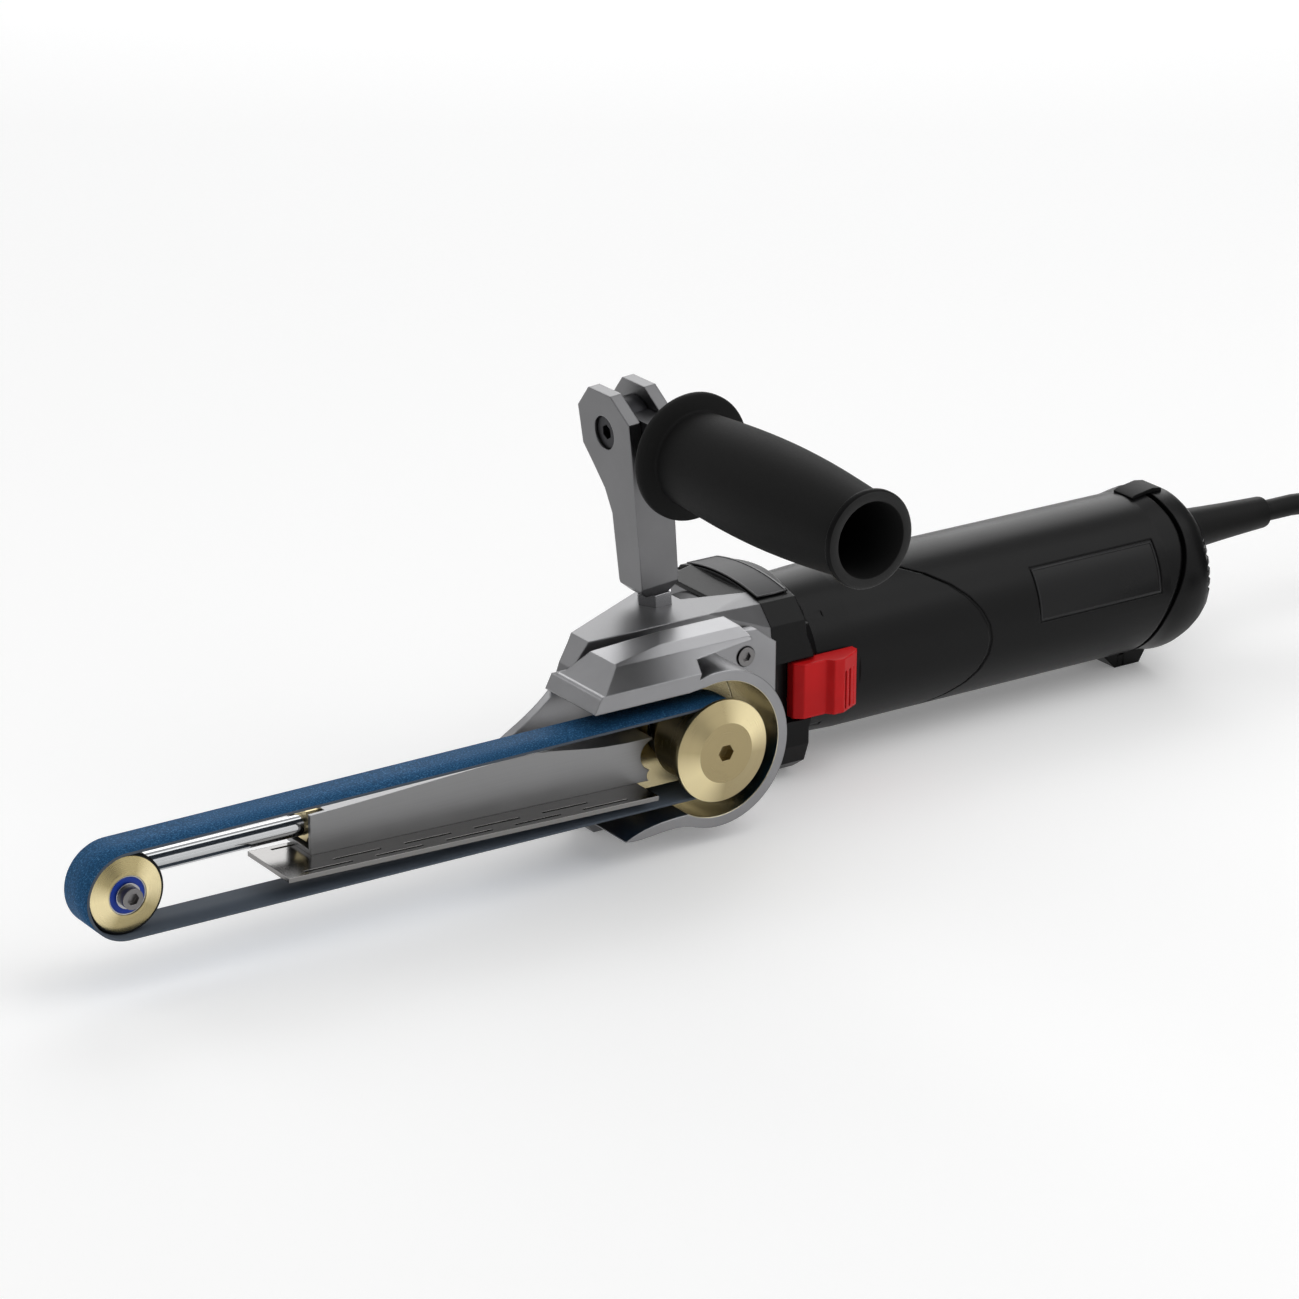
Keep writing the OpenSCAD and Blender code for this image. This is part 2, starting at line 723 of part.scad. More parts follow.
module gear_housing() {
    color("silver")
        difference() {
            union() {
                head_shoulder();
                head_arch();
                // Round back of the head over the crown gear
                turned_y([[0, head_near], [head_r, head_near], [head_r, motor_y - 6],
                    [far_bearing_r + 2.6, head_end_y], [0, head_end_y]]);
                // Tunnel of the pinion, flaring into the collar
                turned_x([[0, 0], [16.5, 0], [16.5, 18], [flare_r, lip_x], [flare_r, collar_x],
                    [0, collar_x]]);
                along_x(collar_x - 8, collar_x)
                    difference() {
                        collar_outline();
                        translate([arch_y, lip_z])
                            square([head_far, head_top]);
                    }
            }
            turned_y([[0, near_bearing_y], [bearing_r, near_bearing_y],
                [bearing_r, near_bearing_y + bearing_w], [head_r - 5, near_bearing_y + bearing_w],
                [head_r - 5, motor_y - 8], [far_bearing_r, far_bearing_y],
                [far_bearing_r, far_bearing_y + bearing_w], [0, far_bearing_y + bearing_w]]);
            turned_x([[0, 0], [12.7, 0], [12.7, 20], [recess_r - 4, plate_x - 3], [recess_r - 4, plate_x],
                [recess_r, plate_x], [recess_r, collar_x + 1], [0, collar_x + 1]]);
            bar_y(spindle_r + 3, head_near - 1, near_bearing_y + 1);
            // Flat seat of the belt guard
            box([head_front_x, 0, -head_top], [collar_x - 1.6, head_near, head_top + 1]);
            on_bracket()
                translate([0, stem_y, -stem_low - 14])
                    cylinder(r = stud_r, h = 20);
            for (spot = guard_screw_spots)
                bar_y(2, head_near - 1, head_near + 10, spot[0], spot[1]);
            corner_screw_spots()
                bar_x(2, collar_x - 8, collar_x + 1);
        }
}

// Shoulder that carries the handle, cut off slantwise behind
module head_shoulder() {
    intersection() {
        linear_extrude(3 * head_top, center = true)
            polygon([[head_front_x, head_near], [16, head_near], [16, motor_y + 3], [6, motor_y - 2],
                [-34, head_near + 9.5], [head_front_x, head_near + 6.5]]);
        along_y(head_near, head_far)
            polygon([[head_front_x, -18], [head_front_x + 12, floor_z], [16, floor_z], [16, head_top],
                [-32, head_top], [-38.5, head_top - 8], [head_front_x, head_top - 15]]);
    }
}

// Arch on the near side, from the square shoulder to the cut corners of the collar
module head_arch() {
    hull() {
        along_x(15, 16)
            polygon([[head_near, floor_z + 6], [head_near, head_top], [arch_y, head_top], [arch_y, floor_z],
                [head_near + 6, floor_z]]);
        along_x(collar_x - 0.5, collar_x)
            intersection() {
                collar_outline();
                square([2 * arch_y, 4 * head_top], center = true);
            }
    }
}

module corner_screw_spots() {
    for (side = [-1, 1], up = [-1, 1])
        translate([0, motor_y + side * corner_screw, up * corner_screw])
            children();
}

module bearing_plate() {
    seat_r = 11;
    color("gray")
        difference() {
            bar_x(recess_r, plate_x, collar_x, motor_y);
            bar_x(shaft_r + 2, plate_x - 1, collar_x, motor_y);
            bar_x(seat_r, collar_x - 7, collar_x + 1, motor_y);
            for (a = [0 : 60 : 300])
                translate([0, motor_y, 0])
                    rotate([a, 0, 0])
                        bar_x(3.6, plate_x - 1, collar_x + 1, 17.5);
        }
}

module front_bearing() {
    color("lightgray")
        turned_x(race_profile(shaft_r + running, 11, collar_x - 7, collar_x));
}

module housing_screws() {
    color("dimgray")
        corner_screw_spots() {
            bar_x(2, collar_x - 7, collar_x + 6);
            bar_x(3.4, collar_x + 6, collar_x + 9.5);
        }
}

// Side handle on its leaning fork
module ear_outline() {
    polygon([[-15.8, -6], [-15.1, 6.6], [-5, 14], [8, 14], [15.1, 6], [13.5, -7], [8, -13], [2, -20],
        [-1.6, -28], [-3.2, 4 - stem_low], [-5.5, -stem_low], [-14.5, -stem_low], [-16.8, 4 - stem_low]]);
}

module handle_bracket() {
    stem_back = 5.6;
    color("darkgray")
        on_bracket()
            difference() {
                union() {
                    intersection() {
                        along_x(-ear_half, ear_half)
                            ear_outline();
                        along_y(-30, 30)
                            polygon([[-ear_half, 20], [-ear_half, 3 - stem_low], [-6, -stem_low],
                                [3, -stem_low], [stem_back, 3 - stem_low], [stem_back + 0.6, -26],
                                [ear_half, -15], [ear_half, 20]]);
                    }
                    translate([0, stem_y, -stem_low - 12])
                        cylinder(r = stud_r, h = 13);
                }
                box([-ear_gap_half, -30, -14], [ear_gap_half, 30, 30]);
                bar_x(pivot_r, -ear_half - 1, ear_half + 1);
                bar_x(ear_sink_r, -ear_half - 1, ear_sink_x);
            }
}

module bracket_lock_nut() {
    color("gray")
        difference() {
            on_bracket()
                difference() {
                    translate([0, stem_y, -stem_low - 10])
                        cylinder(r = 6.4, h = 10, $fn = 6);
                    translate([0, stem_y, -stem_low - 11])
                        cylinder(r = stud_r, h = 12);
                }
            box([-60, -60, head_top - 60], [90, 120, head_top]);
        }
}

module handle_pivot_bolt() {
    color("dimgray")
        on_bracket()
            difference() {
                union() {
                    bar_x(pivot_r, ear_sink_x - 1, ear_half);
                    bar_x(ear_sink_r - slack, pivot_head_x, ear_sink_x);
                }
                translate([pivot_head_x - 1, 0, 0])
                    rotate([0, 90, 0])
                        cylinder(r = 2.6, h = 3.4, $fn = 6);
            }
}

module handle_eye() {
    tongue = ear_gap_half - slack;
    eye_r = 10;
    color("gray")
        on_bracket()
            difference() {
                union() {
                    bar_x(eye_r, -tongue, tongue);
                    box([-tongue, grip_start_y - pivot_y, -7], [tongue, 0, 7]);
                    bar_y(5.5, grip_start_y - pivot_y - 32, grip_start_y - pivot_y + 0.5);
                }
                bar_x(pivot_r + running, -tongue - 1, tongue + 1);
            }
}

module handle_grip() {
    start = grip_start_y;
    end = grip_end_y;
    rim_r = grip_hollow_r + 3.8;
    neck_r = grip_hollow_r + 1.9;
    barrel = curve([grip_r - 1.8, start - 5], [grip_r + 0.6, start - 0.3 * grip_length],
        [grip_r + 0.2, start - 0.62 * grip_length], [neck_r, end + 4.6], 14);
    color("dimgray")
        translate([pivot_x, 0, pivot_z])
            rotate([-90, 0, 0])
                difference() {
                    rotate_extrude()
                        polygon(concat([[0, start], [grip_flange_r - 1.5, start],
                            [grip_flange_r, start - 1.5], [grip_flange_r, start - 3],
                            [grip_flange_r - 1, start - 4]], barrel, [[neck_r, end + 3.6],
                            [rim_r, end + 2.8], [rim_r, end + 0.8], [rim_r - 0.8, end],
                            [grip_hollow_r, end], [grip_hollow_r, end + 46], [0, end + 46]]));
                    translate([0, 0, start - 32])
                        cylinder(r = 5.5, h = 40);
                }
}

// Motor housing and rear cap: one shell parted along a slanting seam
module body_solid() {
    difference() {
        body_outside();
        rear_slope(0);
    }
}

// The rear end leans forward below the lead
module rear_slope(inset) {
    along_y(-10, head_far + 10)
        polygon([[body_end_x + 0.6 - inset, 0], [body_end_x - 20 - inset, -collar_half - 2],
            [body_end_x + 1, -collar_half - 2], [body_end_x + 1, 0]]);
}

module body_outside() {
    union() {
        along_x(collar_x, collar_end_x)
            collar_outline();
        // Lip over the top of the gear head's collar
        along_y(arch_y, 2 * motor_y - arch_y + 2)
            polygon([[lip_x, lip_z], [lip_x, lip_z + 1.6], [collar_x, crown_z - 1.4], [collar_x, lip_z]]);
        // Sloping back of the collar
        intersection() {
            along_x(collar_end_x, collar_end_x + 8)
                collar_outline();
            turned_x([[0, collar_end_x], [collar_half + 3, collar_end_x], [body_r, collar_end_x + 7],
                [0, collar_end_x + 7]]);
        }
        turned_x([[0, collar_end_x - 4], [body_r - 1, collar_end_x - 4], [body_r - 1, collar_end_x + 3],
            [body_r, collar_end_x + 24], [body_r, body_end_x - 22], [body_r + 1.2, body_end_x - 14],
            [body_r + 0.8, body_end_x - 7], [body_r - 3, body_end_x - 1.4], [body_r - 7, body_end_x],
            [0, body_end_x]]);
        // Foot under the rear cap
        intersection() {
            along_y(motor_y - 9, motor_y + 9)
                polygon([[body_end_x - 36, -body_r + 2], [body_end_x - 30, floor_z],
                    [body_end_x - 12, floor_z], [body_end_x - 7, -body_r + 2]]);
            box([collar_x, 0, floor_z], [body_end_x, head_far, 0]);
        }
    }
}

module body_hollow() {
    difference() {
        turned_x([[0, collar_x - 1], [body_in_r, collar_x - 1], [body_in_r, body_end_x - 8],
            [body_in_r - 5, body_end_x - 3.4], [0, body_end_x - 3.4]]);
        rear_slope(body_wall + 0.8);
    }
}

// Everything behind the seam, seen from the side
module seam_outline() {
    seam = curve([body_end_x - 18, collar_half + 6], [body_end_x - 2, 14], [body_end_x - 26, 4],
        [body_end_x - 27, -collar_half - 6], 14);
    polygon(concat(seam, [[body_end_x + 60, -collar_half - 6], [body_end_x + 60, collar_half + 6]]));
}

// A shallow line that sweeps back round the middle of the housing
module groove_outline() {
    bow_x = collar_end_x + 40;
    width = 1.4;
    line = curve([bow_x, body_r], [bow_x + 54, body_r - 6], [bow_x + 54, 4 - body_r], [bow_x, -body_r], 14);
    polygon(concat(line, [for (i = [len(line) - 1 : -1 : 0]) line[i] + [width, 0]]));
}

module stator_ribs() {
    for (a = [45 : 90 : 315])
        translate([0, motor_y, 0])
            rotate([a, 0, 0])
                box([stator_x - 2, stator_r, -4], [stator_end_x + 2, body_in_r + 0.5, 4]);
}

module motor_housing() {
    panel_x = body_end_x - 81.5;
    panel_end_x = body_end_x - 26;
    seam_groove = 2.2;
    color("dimgray")
        difference() {
            union() {
                difference() {
                    body_solid();
                    body_hollow();
                }
                intersection() {
                    stator_ribs();
                    bar_x(body_in_r + 0.5, collar_x, body_end_x, motor_y);
                }
                difference() {
                    bar_x(body_in_r + 0.5, web_x, web_end_x, motor_y);
                    bar_x(rear_bearing_r, web_x - 1, web_x + rear_bearing_w, motor_y);
                    bar_x(shaft_r + 1.5, web_x, web_end_x + 1, motor_y);
                }
            }
            along_y(-10, head_far + 10)
                seam_outline();
            // Groove along the seam
            difference() {
                along_y(-10, head_far + 10)
                    translate([-seam_groove, 0])
                        seam_outline();
                bar_x(body_r - 0.8, collar_x, body_end_x, motor_y);
            }
            bar_x(stator_r, stator_x - 3, stator_end_x + 3, motor_y);
            // Blank label field on the upper near side
            difference() {
                box([panel_x, motor_y - body_r - 2, 1], [panel_end_x, motor_y, 19.5]);
                bar_x(body_r - 0.5, panel_x - 1, panel_end_x + 1, motor_y);
            }
            // Curved groove round the near half
            difference() {
                along_y(0, motor_y)
                    groove_outline();
                bar_x(body_r - 0.5, collar_end_x, body_end_x, motor_y);
            }
            // Pocket and slot of the slide switch
            box([switch_x - switch_travel - 0.6, 0, -11],
                [switch_x + switch_length + 4, switch_floor_y, 10.6]);
            box([switch_x + 2, 0, -3.4], [switch_x + 17, motor_y - body_in_r + 4, 3.4]);
            box([web_x - 1, link_y - 0.6, -4.4], [web_end_x + 1, link_y + link_thick + 0.6, 4.4]);
            corner_screw_spots() {
                bar_x(2, collar_x - 1, collar_x + 7);
                bar_x(3.6, collar_x + 6, collar_end_x + 14);
            }
        }
}

module top_plaque() {
    thick = 0.8;
    color("gray")
        along_x(collar_x + 0.6, collar_end_x - 1)
            translate([motor_y, crown_z - crown_r])
                intersection() {
                    difference() {
                        circle(crown_r + running + thick);
                        circle(crown_r + running);
                    }
                    translate([-21, 0])
                        square([42, 2 * crown_r]);
                }
}

module rear_cap() {
    vents = 5;
    vent_pitch = 4.6;
    color("dimgray")
        difference() {
            intersection() {
                difference() {
                    body_solid();
                    body_hollow();
                }
                along_y(-10, head_far + 10)
                    seam_outline();
            }
            for (i = [0 : vents - 1], side = [-1, 1])
                translate([body_end_x - 9, motor_y + side * (body_r - 6), -8 + i * vent_pitch])
                    cube([24, 22, 2.2], center = true);
            bar_x(relief_r - 1.5, body_end_x - 10, body_end_x + 1, motor_y, relief_z);
            cap_screw_spots()
                bar_x(1.9, body_end_x - 10, body_end_x + 1);
        }
}

module cap_screw_spots() {
    for (side = [-1, 1])
        translate([0, motor_y + side * 13, 12])
            children();
}

module cap_screws() {
    color("gray")
        cap_screw_spots() {
            bar_x(1.9, body_end_x - 9, body_end_x);
            bar_x(3.2, body_end_x, body_end_x + 2);
        }
}

module cap_clip() {
    color("dimgray")
        difference() {
            along_y(motor_y - 7, motor_y + 7)
                polygon([[body_end_x - 22, body_r - 3], [body_end_x - 22, body_r + 0.8],
                    [body_end_x - 13, body_r + 3.8], [body_end_x - 7, body_r + 3.2],
                    [body_end_x - 6, body_r - 3]]);
            body_solid();
        }
}

// Slide switch
module switch_button() {
    foot_y = switch_floor_y - slack;
    start = switch_x;
    end = switch_x + switch_length;
    color("firebrick")
        difference() {
            union() {
                translate([0, 0, -10])
                    linear_extrude(19.6)
                        polygon([[start, foot_y], [start, foot_y - 3.6], [start + 3, foot_y - 6],
                            [start + 12, foot_y - 6], [start + 14, foot_y - 8.4],
                            [start + 18, foot_y - 8.4], [end - 1, foot_y - 4.4], [end, foot_y - 3],
                            [end, foot_y]]);
                box([switch_x + 8.4, foot_y - 1, -3], [switch_x + 16.4, link_y, 3]);
            }
            for (i = [0 : 2])
                box([start + 18.6 + i * 2.6, foot_y - 10, -9], [start + 19.5 + i * 2.6, foot_y - 5.2, 4.6]);
        }
}

module switch_link() {
    finger_x = web_end_x + 8;
    color("gray")
        union() {
            box([switch_x + 6, link_y, -3.6], [finger_x + 6, link_y + link_thick, 3.6]);
            box([finger_x, link_y, -3], [finger_x + 6, motor_y - 11 - slack, 3]);
        }
}

module switch_module() {
    color("darkslategray")
        box([web_end_x, motor_y - 11, -12], [module_end_x, motor_y + 11, 9]);
}

// Motor
module stator_core() {
    color("slategray")
        difference() {
            bar_x(stator_r, stator_x, stator_end_x, motor_y);
            bar_x(armature_r + 0.6, stator_x - 1, stator_end_x + 1, motor_y);
            for (side = [-1, 1])
                box([stator_x - 1, motor_y - 7, side * (armature_r - 0.9) - 4.5],
                    [stator_end_x + 1, motor_y + 7, side * (armature_r - 0.9) + 4.5]);
        }
}

module field_coils() {
    color("peru")
        for (x = [stator_x - coil_end, stator_end_x])
            turned_x([[armature_r + 1.4, x], [stator_r - 1, x], [stator_r - 1, x + coil_end],
                [armature_r + 1.4, x + coil_end]]);
}

module armature_shaft() {
    color("silver")
        turned_x([[0, pinion_root(cone_in)[0] + 3], [shaft_r - 1, pinion_root(cone_in)[0] + 3],
            [shaft_r - 1, plate_x - 3], [shaft_r, plate_x - 3], [shaft_r, web_x + rear_bearing_w],
            [0, web_x + rear_bearing_w]]);
}

module armature_core() {
    slots = 12;
    color("slategray")
        difference() {
            bar_x(armature_r, stator_x + 2, stator_end_x - 2, motor_y);
            bar_x(shaft_r, stator_x + 1, stator_end_x - 1, motor_y);
            for (i = [0 : slots - 1])
                translate([0, motor_y, 0])
                    rotate([i * 360 / slots, 0, 0])
                        box([stator_x + 1, armature_r - 5, -0.9], [stator_end_x - 1, armature_r + 1, 0.9]);
        }
}

module armature_coils() {
    color("peru")
        for (ends = [[stator_x - 6, stator_x + 2], [stator_end_x - 2, stator_end_x + 6]])
            turned_x([[shaft_r, ends[0]], [armature_r - 4, ends[0]],
                [armature_r - 2, (ends[0] + ends[1]) / 2], [armature_r - 2.6, ends[1]],
                [shaft_r, ends[1]]]);
}

module commutator() {
    bars = 24;
    color("peru")
        difference() {
            bar_x(commutator_r, commutator_x, commutator_end_x, motor_y);
            bar_x(shaft_r, commutator_x - 1, commutator_end_x + 1, motor_y);
            for (i = [0 : bars - 1])
                translate([0, motor_y, 0])
                    rotate([i * 360 / bars, 0, 0])
                        box([commutator_x - 1, commutator_r - 0.7, -0.25],
                            [commutator_end_x + 1, commutator_r + 1, 0.25]);
        }
}

module cooling_fan() {
    blades = 10;
    fan_r = body_in_r - 3;
    color("dimgray")
        difference() {
            union() {
                bar_x(shaft_r + 3.5, fan_x, fan_x + fan_w, motor_y);
                bar_x(fan_r, fan_x, fan_x + 1.6, motor_y);
                for (i = [0 : blades - 1])
                    translate([0, motor_y, 0])
                        rotate([i * 360 / blades, 0, 0])
                            rotate([18, 0, 0])
                                box([fan_x + 1, shaft_r + 6, -0.7], [fan_x + fan_w, fan_r - 1, 0.7]);
            }
            bar_x(shaft_r, fan_x - 1, fan_x + fan_w + 1, motor_y);
        }
}

module bevel_pinion() {
    outer = pinion_root(cone_out);
    inner = pinion_root(cone_in);
    inner_x = cone_in * sin(crown_angle) + tooth_root * cos(crown_angle);
    outer_x = cone_out * sin(crown_angle) + tooth_root * cos(crown_angle);
    bore = shaft_r - 1;
    color("gray")
        difference() {
            union() {
                turned_x([[0, inner_x], [inner[0], inner_x], [outer[0], outer_x], [outer[0], outer_x + 3],
                    [bore + 2.5, outer_x + 5], [bore + 2.5, plate_x - 3 - slack],
                    [0, plate_x - 3 - slack]]);
                for (i = [0 : pinion_teeth - 1])
                    translate([0, motor_y, 0])
                        rotate([(i + 0.5) * 360 / pinion_teeth, 0, 0])
                            rotate([0, 0, crown_angle - 90])
                                translate([cone_in, -tooth_rise, -tooth_width / 2])
                                    cube([cone_out - cone_in, tooth_rise + tooth_root + 0.2, tooth_width]);
            }
            bar_x(bore, pinion_root(cone_in)[0] + 3, plate_x, motor_y);
        }
}

module rear_bearing() {
    color("lightgray")
        turned_x(race_profile(shaft_r + running, rear_bearing_r, web_x, web_x + rear_bearing_w));
}

module brush_holders() {
    color("darkkhaki")
        for (flip = [0, 1])
            mirror([0, 0, flip])
                difference() {
                    box([commutator_x + 1, motor_y - 5, commutator_r + 1.5],
                        [commutator_end_x - 1, motor_y + 5, body_in_r - 0.6]);
                    box([commutator_x + 3, motor_y - 3, commutator_r],
                        [commutator_end_x - 3, motor_y + 3, body_in_r - 3]);
                }
}

module carbon_brushes() {
    color("black")
        for (flip = [0, 1])
            mirror([0, 0, flip])
                box([commutator_x + 3, motor_y - 3, commutator_r + slack],
                    [commutator_end_x - 3, motor_y + 3, body_in_r - 3]);
}

// Lead
module cord_clamp() {
    color("dimgray")
        difference() {
            box([module_end_x, motor_y - 9, relief_z - 8], [module_end_x + 8, motor_y + 9, relief_z + 8]);
            bar_x(cord_r + 0.2, module_end_x - 1, module_end_x + 9, motor_y, relief_z);
        }
}

module strain_relief() {
    ribs = 5;
    rib_pitch = 6;
    color("dimgray")
        difference() {
            turned_x([[0, relief_x - 3], [relief_r + 1.5, relief_x - 3], [relief_r + 1.5, relief_x - 0.4],
                [relief_r - 1.5, relief_x - 0.4], [relief_r - 1.5, body_end_x], [relief_r, body_end_x],
                [relief_r, body_end_x + 6], [cord_r + 1.2, relief_end_x], [0, relief_end_x]],
                motor_y, relief_z);
            for (i = [0 : ribs - 1])
                difference() {
                    bar_x(relief_r + 1, body_end_x + 9 + i * rib_pitch, body_end_x + 11 + i * rib_pitch,
                        motor_y, relief_z);
                    bar_x(cord_r + 0.7, body_end_x + 8 + i * rib_pitch, body_end_x + 12 + i * rib_pitch,
                        motor_y, relief_z);
                }
        }
}

module mains_cord() {
    color("black")
        swept_tube(cord_route, cord_r, 10);
}

module cord_tail() {
    color("black")
        swept_tube(tail_route, cord_r, 10);
}

// The coil spirals in and out again, layer by layer, and climbs half a turn at each reversal
coil_steps = 24;
lap = coil_turns * coil_steps;
climb = coil_steps / 2;
stage = lap + climb;
function coil_phase(i) = min(i - floor(i / stage) * stage, lap) / lap;
function coil_radius(i) = coil_out_r - coil_pitch * coil_turns * (floor(i / stage) % 2 == 0 ?
    coil_phase(i) : 1 - coil_phase(i));
function coil_height(i) = cord_rest_z + coil_layer * (floor(i / stage) + max(0,
    i - floor(i / stage) * stage - lap) / climb);
coil_count = 4 * lap + 3 * climb;
function coil_point(i) = let (a = 360 * i / coil_steps - 90)
    [coil_x + coil_radius(i) * cos(a), coil_y - coil_radius(i) * sin(a), coil_height(i)];
coil_loops = [for (i = [0 : coil_count]) coil_point(i)];
coil_path = concat([[coil_x - 2 * cord_r, motor_y, cord_rest_z]], coil_loops,
    [[coil_x - 2 * cord_r, plug_y, coil_top_z]]);
coil_gap = min([for (i = [0 : coil_count - coil_steps + 1]) min([for (k = [i + coil_steps - 1 : coil_count])
    norm(coil_loops[i] - coil_loops[k])])]) - 2 * cord_r;
spring_gap = (spring_length - 2 * spring_wire_r) / spring_turns - 2 * spring_wire_r;
echo(coil_gap = coil_gap, spring_gap = spring_gap);

module cord_coil() {
    color("black")
        swept_tube(coil_path, cord_r, 6);
}

// A strap round all the turns, on the side away from the tool
module cord_tie() {
    strap = 1.5;
    in_r = coil_out_r - coil_pitch * coil_turns - cord_r - slack;
    out_r = coil_out_r + cord_r + slack;
    low = cord_rest_z - cord_r - 0.5;
    high = coil_top_z + cord_r + slack;
    color("black")
        translate([coil_x, coil_y, 0])
            difference() {
                box([in_r - strap, -4, low - strap], [out_r + strap, 4, high + strap]);
                box([in_r, -5, low], [out_r, 5, high]);
            }
}

module mains_plug() {
    color("black")
        turned_x([[0, plug_x], [plug_r - 1, plug_x], [plug_r, plug_x + 1], [plug_r, plug_x + 14],
            [plug_r - 5, plug_x + 22], [cord_r + 2.4, plug_x + 30], [cord_r + 1.4, plug_x + 40],
            [0, plug_x + 40]], plug_y, plug_z);
}

module plug_pins() {
    pin_gap = 19;
    color("silver")
        for (side = [-1, 1])
            bar_x(2.4, plug_x - 19, plug_x, plug_y + side * pin_gap / 2, plug_z);
}

stand() abrasive_belt();
stand() drive_drum();
stand() output_spindle();
stand() crown_gear();
stand() spindle_bearings();
stand() tip_wheel_hub();
stand() tip_wheel_tyre();
stand() tip_bearings();
stand() tip_axle_screw();
stand() tip_washer();
stand() axle_block();
stand() tension_rod();
stand() tension_spring();
stand() rod_bush();
stand() arm();
stand() platen();
stand() platen_screws();
stand() arm_screws();
stand() belt_guard();
stand() guard_screws();
stand() gear_housing();
stand() bearing_plate();
stand() housing_screws();
stand() handle_bracket();
stand() bracket_lock_nut();
stand() handle_pivot_bolt();
stand() handle_eye();
stand() handle_grip();
stand() motor_housing();
stand() top_plaque();
stand() switch_button();
stand() switch_link();
stand() switch_module();
stand() stator_core();
stand() field_coils();
stand() armature_shaft();
stand() armature_core();
stand() armature_coils();
stand() commutator();
stand() cooling_fan();
stand() bevel_pinion();
stand() front_bearing();
stand() rear_bearing();
stand() brush_holders();
stand() carbon_brushes();
stand() rear_cap();
stand() cap_clip();
stand() cap_screws();
stand() cord_clamp();
stand() strain_relief();
stand() mains_cord();
stand() cord_coil();
stand() cord_tail();
stand() cord_tie();
stand() mains_plug();
stand() plug_pins();
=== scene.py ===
"""Dresses the power file, a narrow belt sander with a tilting side handle.

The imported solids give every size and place. Lengths are metres in the frame's own axes.
"""
import json
import logging
import math
from dataclasses import dataclass
from enum import Enum
from typing import Any, Callable, ClassVar, Sequence

import bpy
from mathutils import Matrix, Vector


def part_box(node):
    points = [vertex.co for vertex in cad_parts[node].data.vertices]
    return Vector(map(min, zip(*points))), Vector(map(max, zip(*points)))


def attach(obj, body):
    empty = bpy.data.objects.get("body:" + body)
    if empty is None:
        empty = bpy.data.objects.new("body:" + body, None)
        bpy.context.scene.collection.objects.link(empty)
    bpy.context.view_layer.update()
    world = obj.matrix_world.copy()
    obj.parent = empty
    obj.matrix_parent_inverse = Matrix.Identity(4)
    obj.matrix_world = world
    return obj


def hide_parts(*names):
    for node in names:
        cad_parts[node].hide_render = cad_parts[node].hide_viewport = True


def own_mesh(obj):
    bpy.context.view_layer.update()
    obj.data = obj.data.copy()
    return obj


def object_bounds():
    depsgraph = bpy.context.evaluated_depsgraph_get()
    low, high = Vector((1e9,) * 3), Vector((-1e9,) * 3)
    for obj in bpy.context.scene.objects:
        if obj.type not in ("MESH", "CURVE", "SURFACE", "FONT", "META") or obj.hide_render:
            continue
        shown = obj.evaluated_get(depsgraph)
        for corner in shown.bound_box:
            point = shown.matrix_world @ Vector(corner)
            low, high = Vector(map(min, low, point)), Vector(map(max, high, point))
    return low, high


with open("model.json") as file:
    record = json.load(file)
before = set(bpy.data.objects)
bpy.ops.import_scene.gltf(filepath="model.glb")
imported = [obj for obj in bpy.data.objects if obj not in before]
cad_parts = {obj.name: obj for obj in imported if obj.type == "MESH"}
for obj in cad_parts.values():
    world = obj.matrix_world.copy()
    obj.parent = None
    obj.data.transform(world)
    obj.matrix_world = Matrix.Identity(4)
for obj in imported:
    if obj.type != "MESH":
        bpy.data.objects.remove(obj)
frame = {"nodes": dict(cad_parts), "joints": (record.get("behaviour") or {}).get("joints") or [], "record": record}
CAD_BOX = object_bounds()
LOG = logging.getLogger("power_file")
MM = 0.001
Colour = tuple[float, float, float]
Test = Callable[[Vector, Vector], bool]


def joint_spot(name: str) -> Vector:
    """The place of one of the record's joints.

    Args:
        name: the joint's name.
    Returns:
        A point in the row frame.
    """
    found = next(joint for joint in frame["joints"] if joint["name"] == name)
    return Vector(found["pos_m"])


DRIVE_AXIS = joint_spot("spindle_spin")
TIP_AXIS = joint_spot("tip_spin")
MOTOR_AXIS = joint_spot("motor_spin")
HANDLE_PIVOT = joint_spot("handle_pivot")


def spot(x: float, y: float, z: float) -> Vector:
    """A point of the tool, in millimetres from the drive axis.

    Args:
        x: distance towards the lead.
        y: distance towards the motor's side.
        z: height above the axis.
    Returns:
        The point in the row frame.
    """
    return DRIVE_AXIS + Vector((x, y, z)) * MM


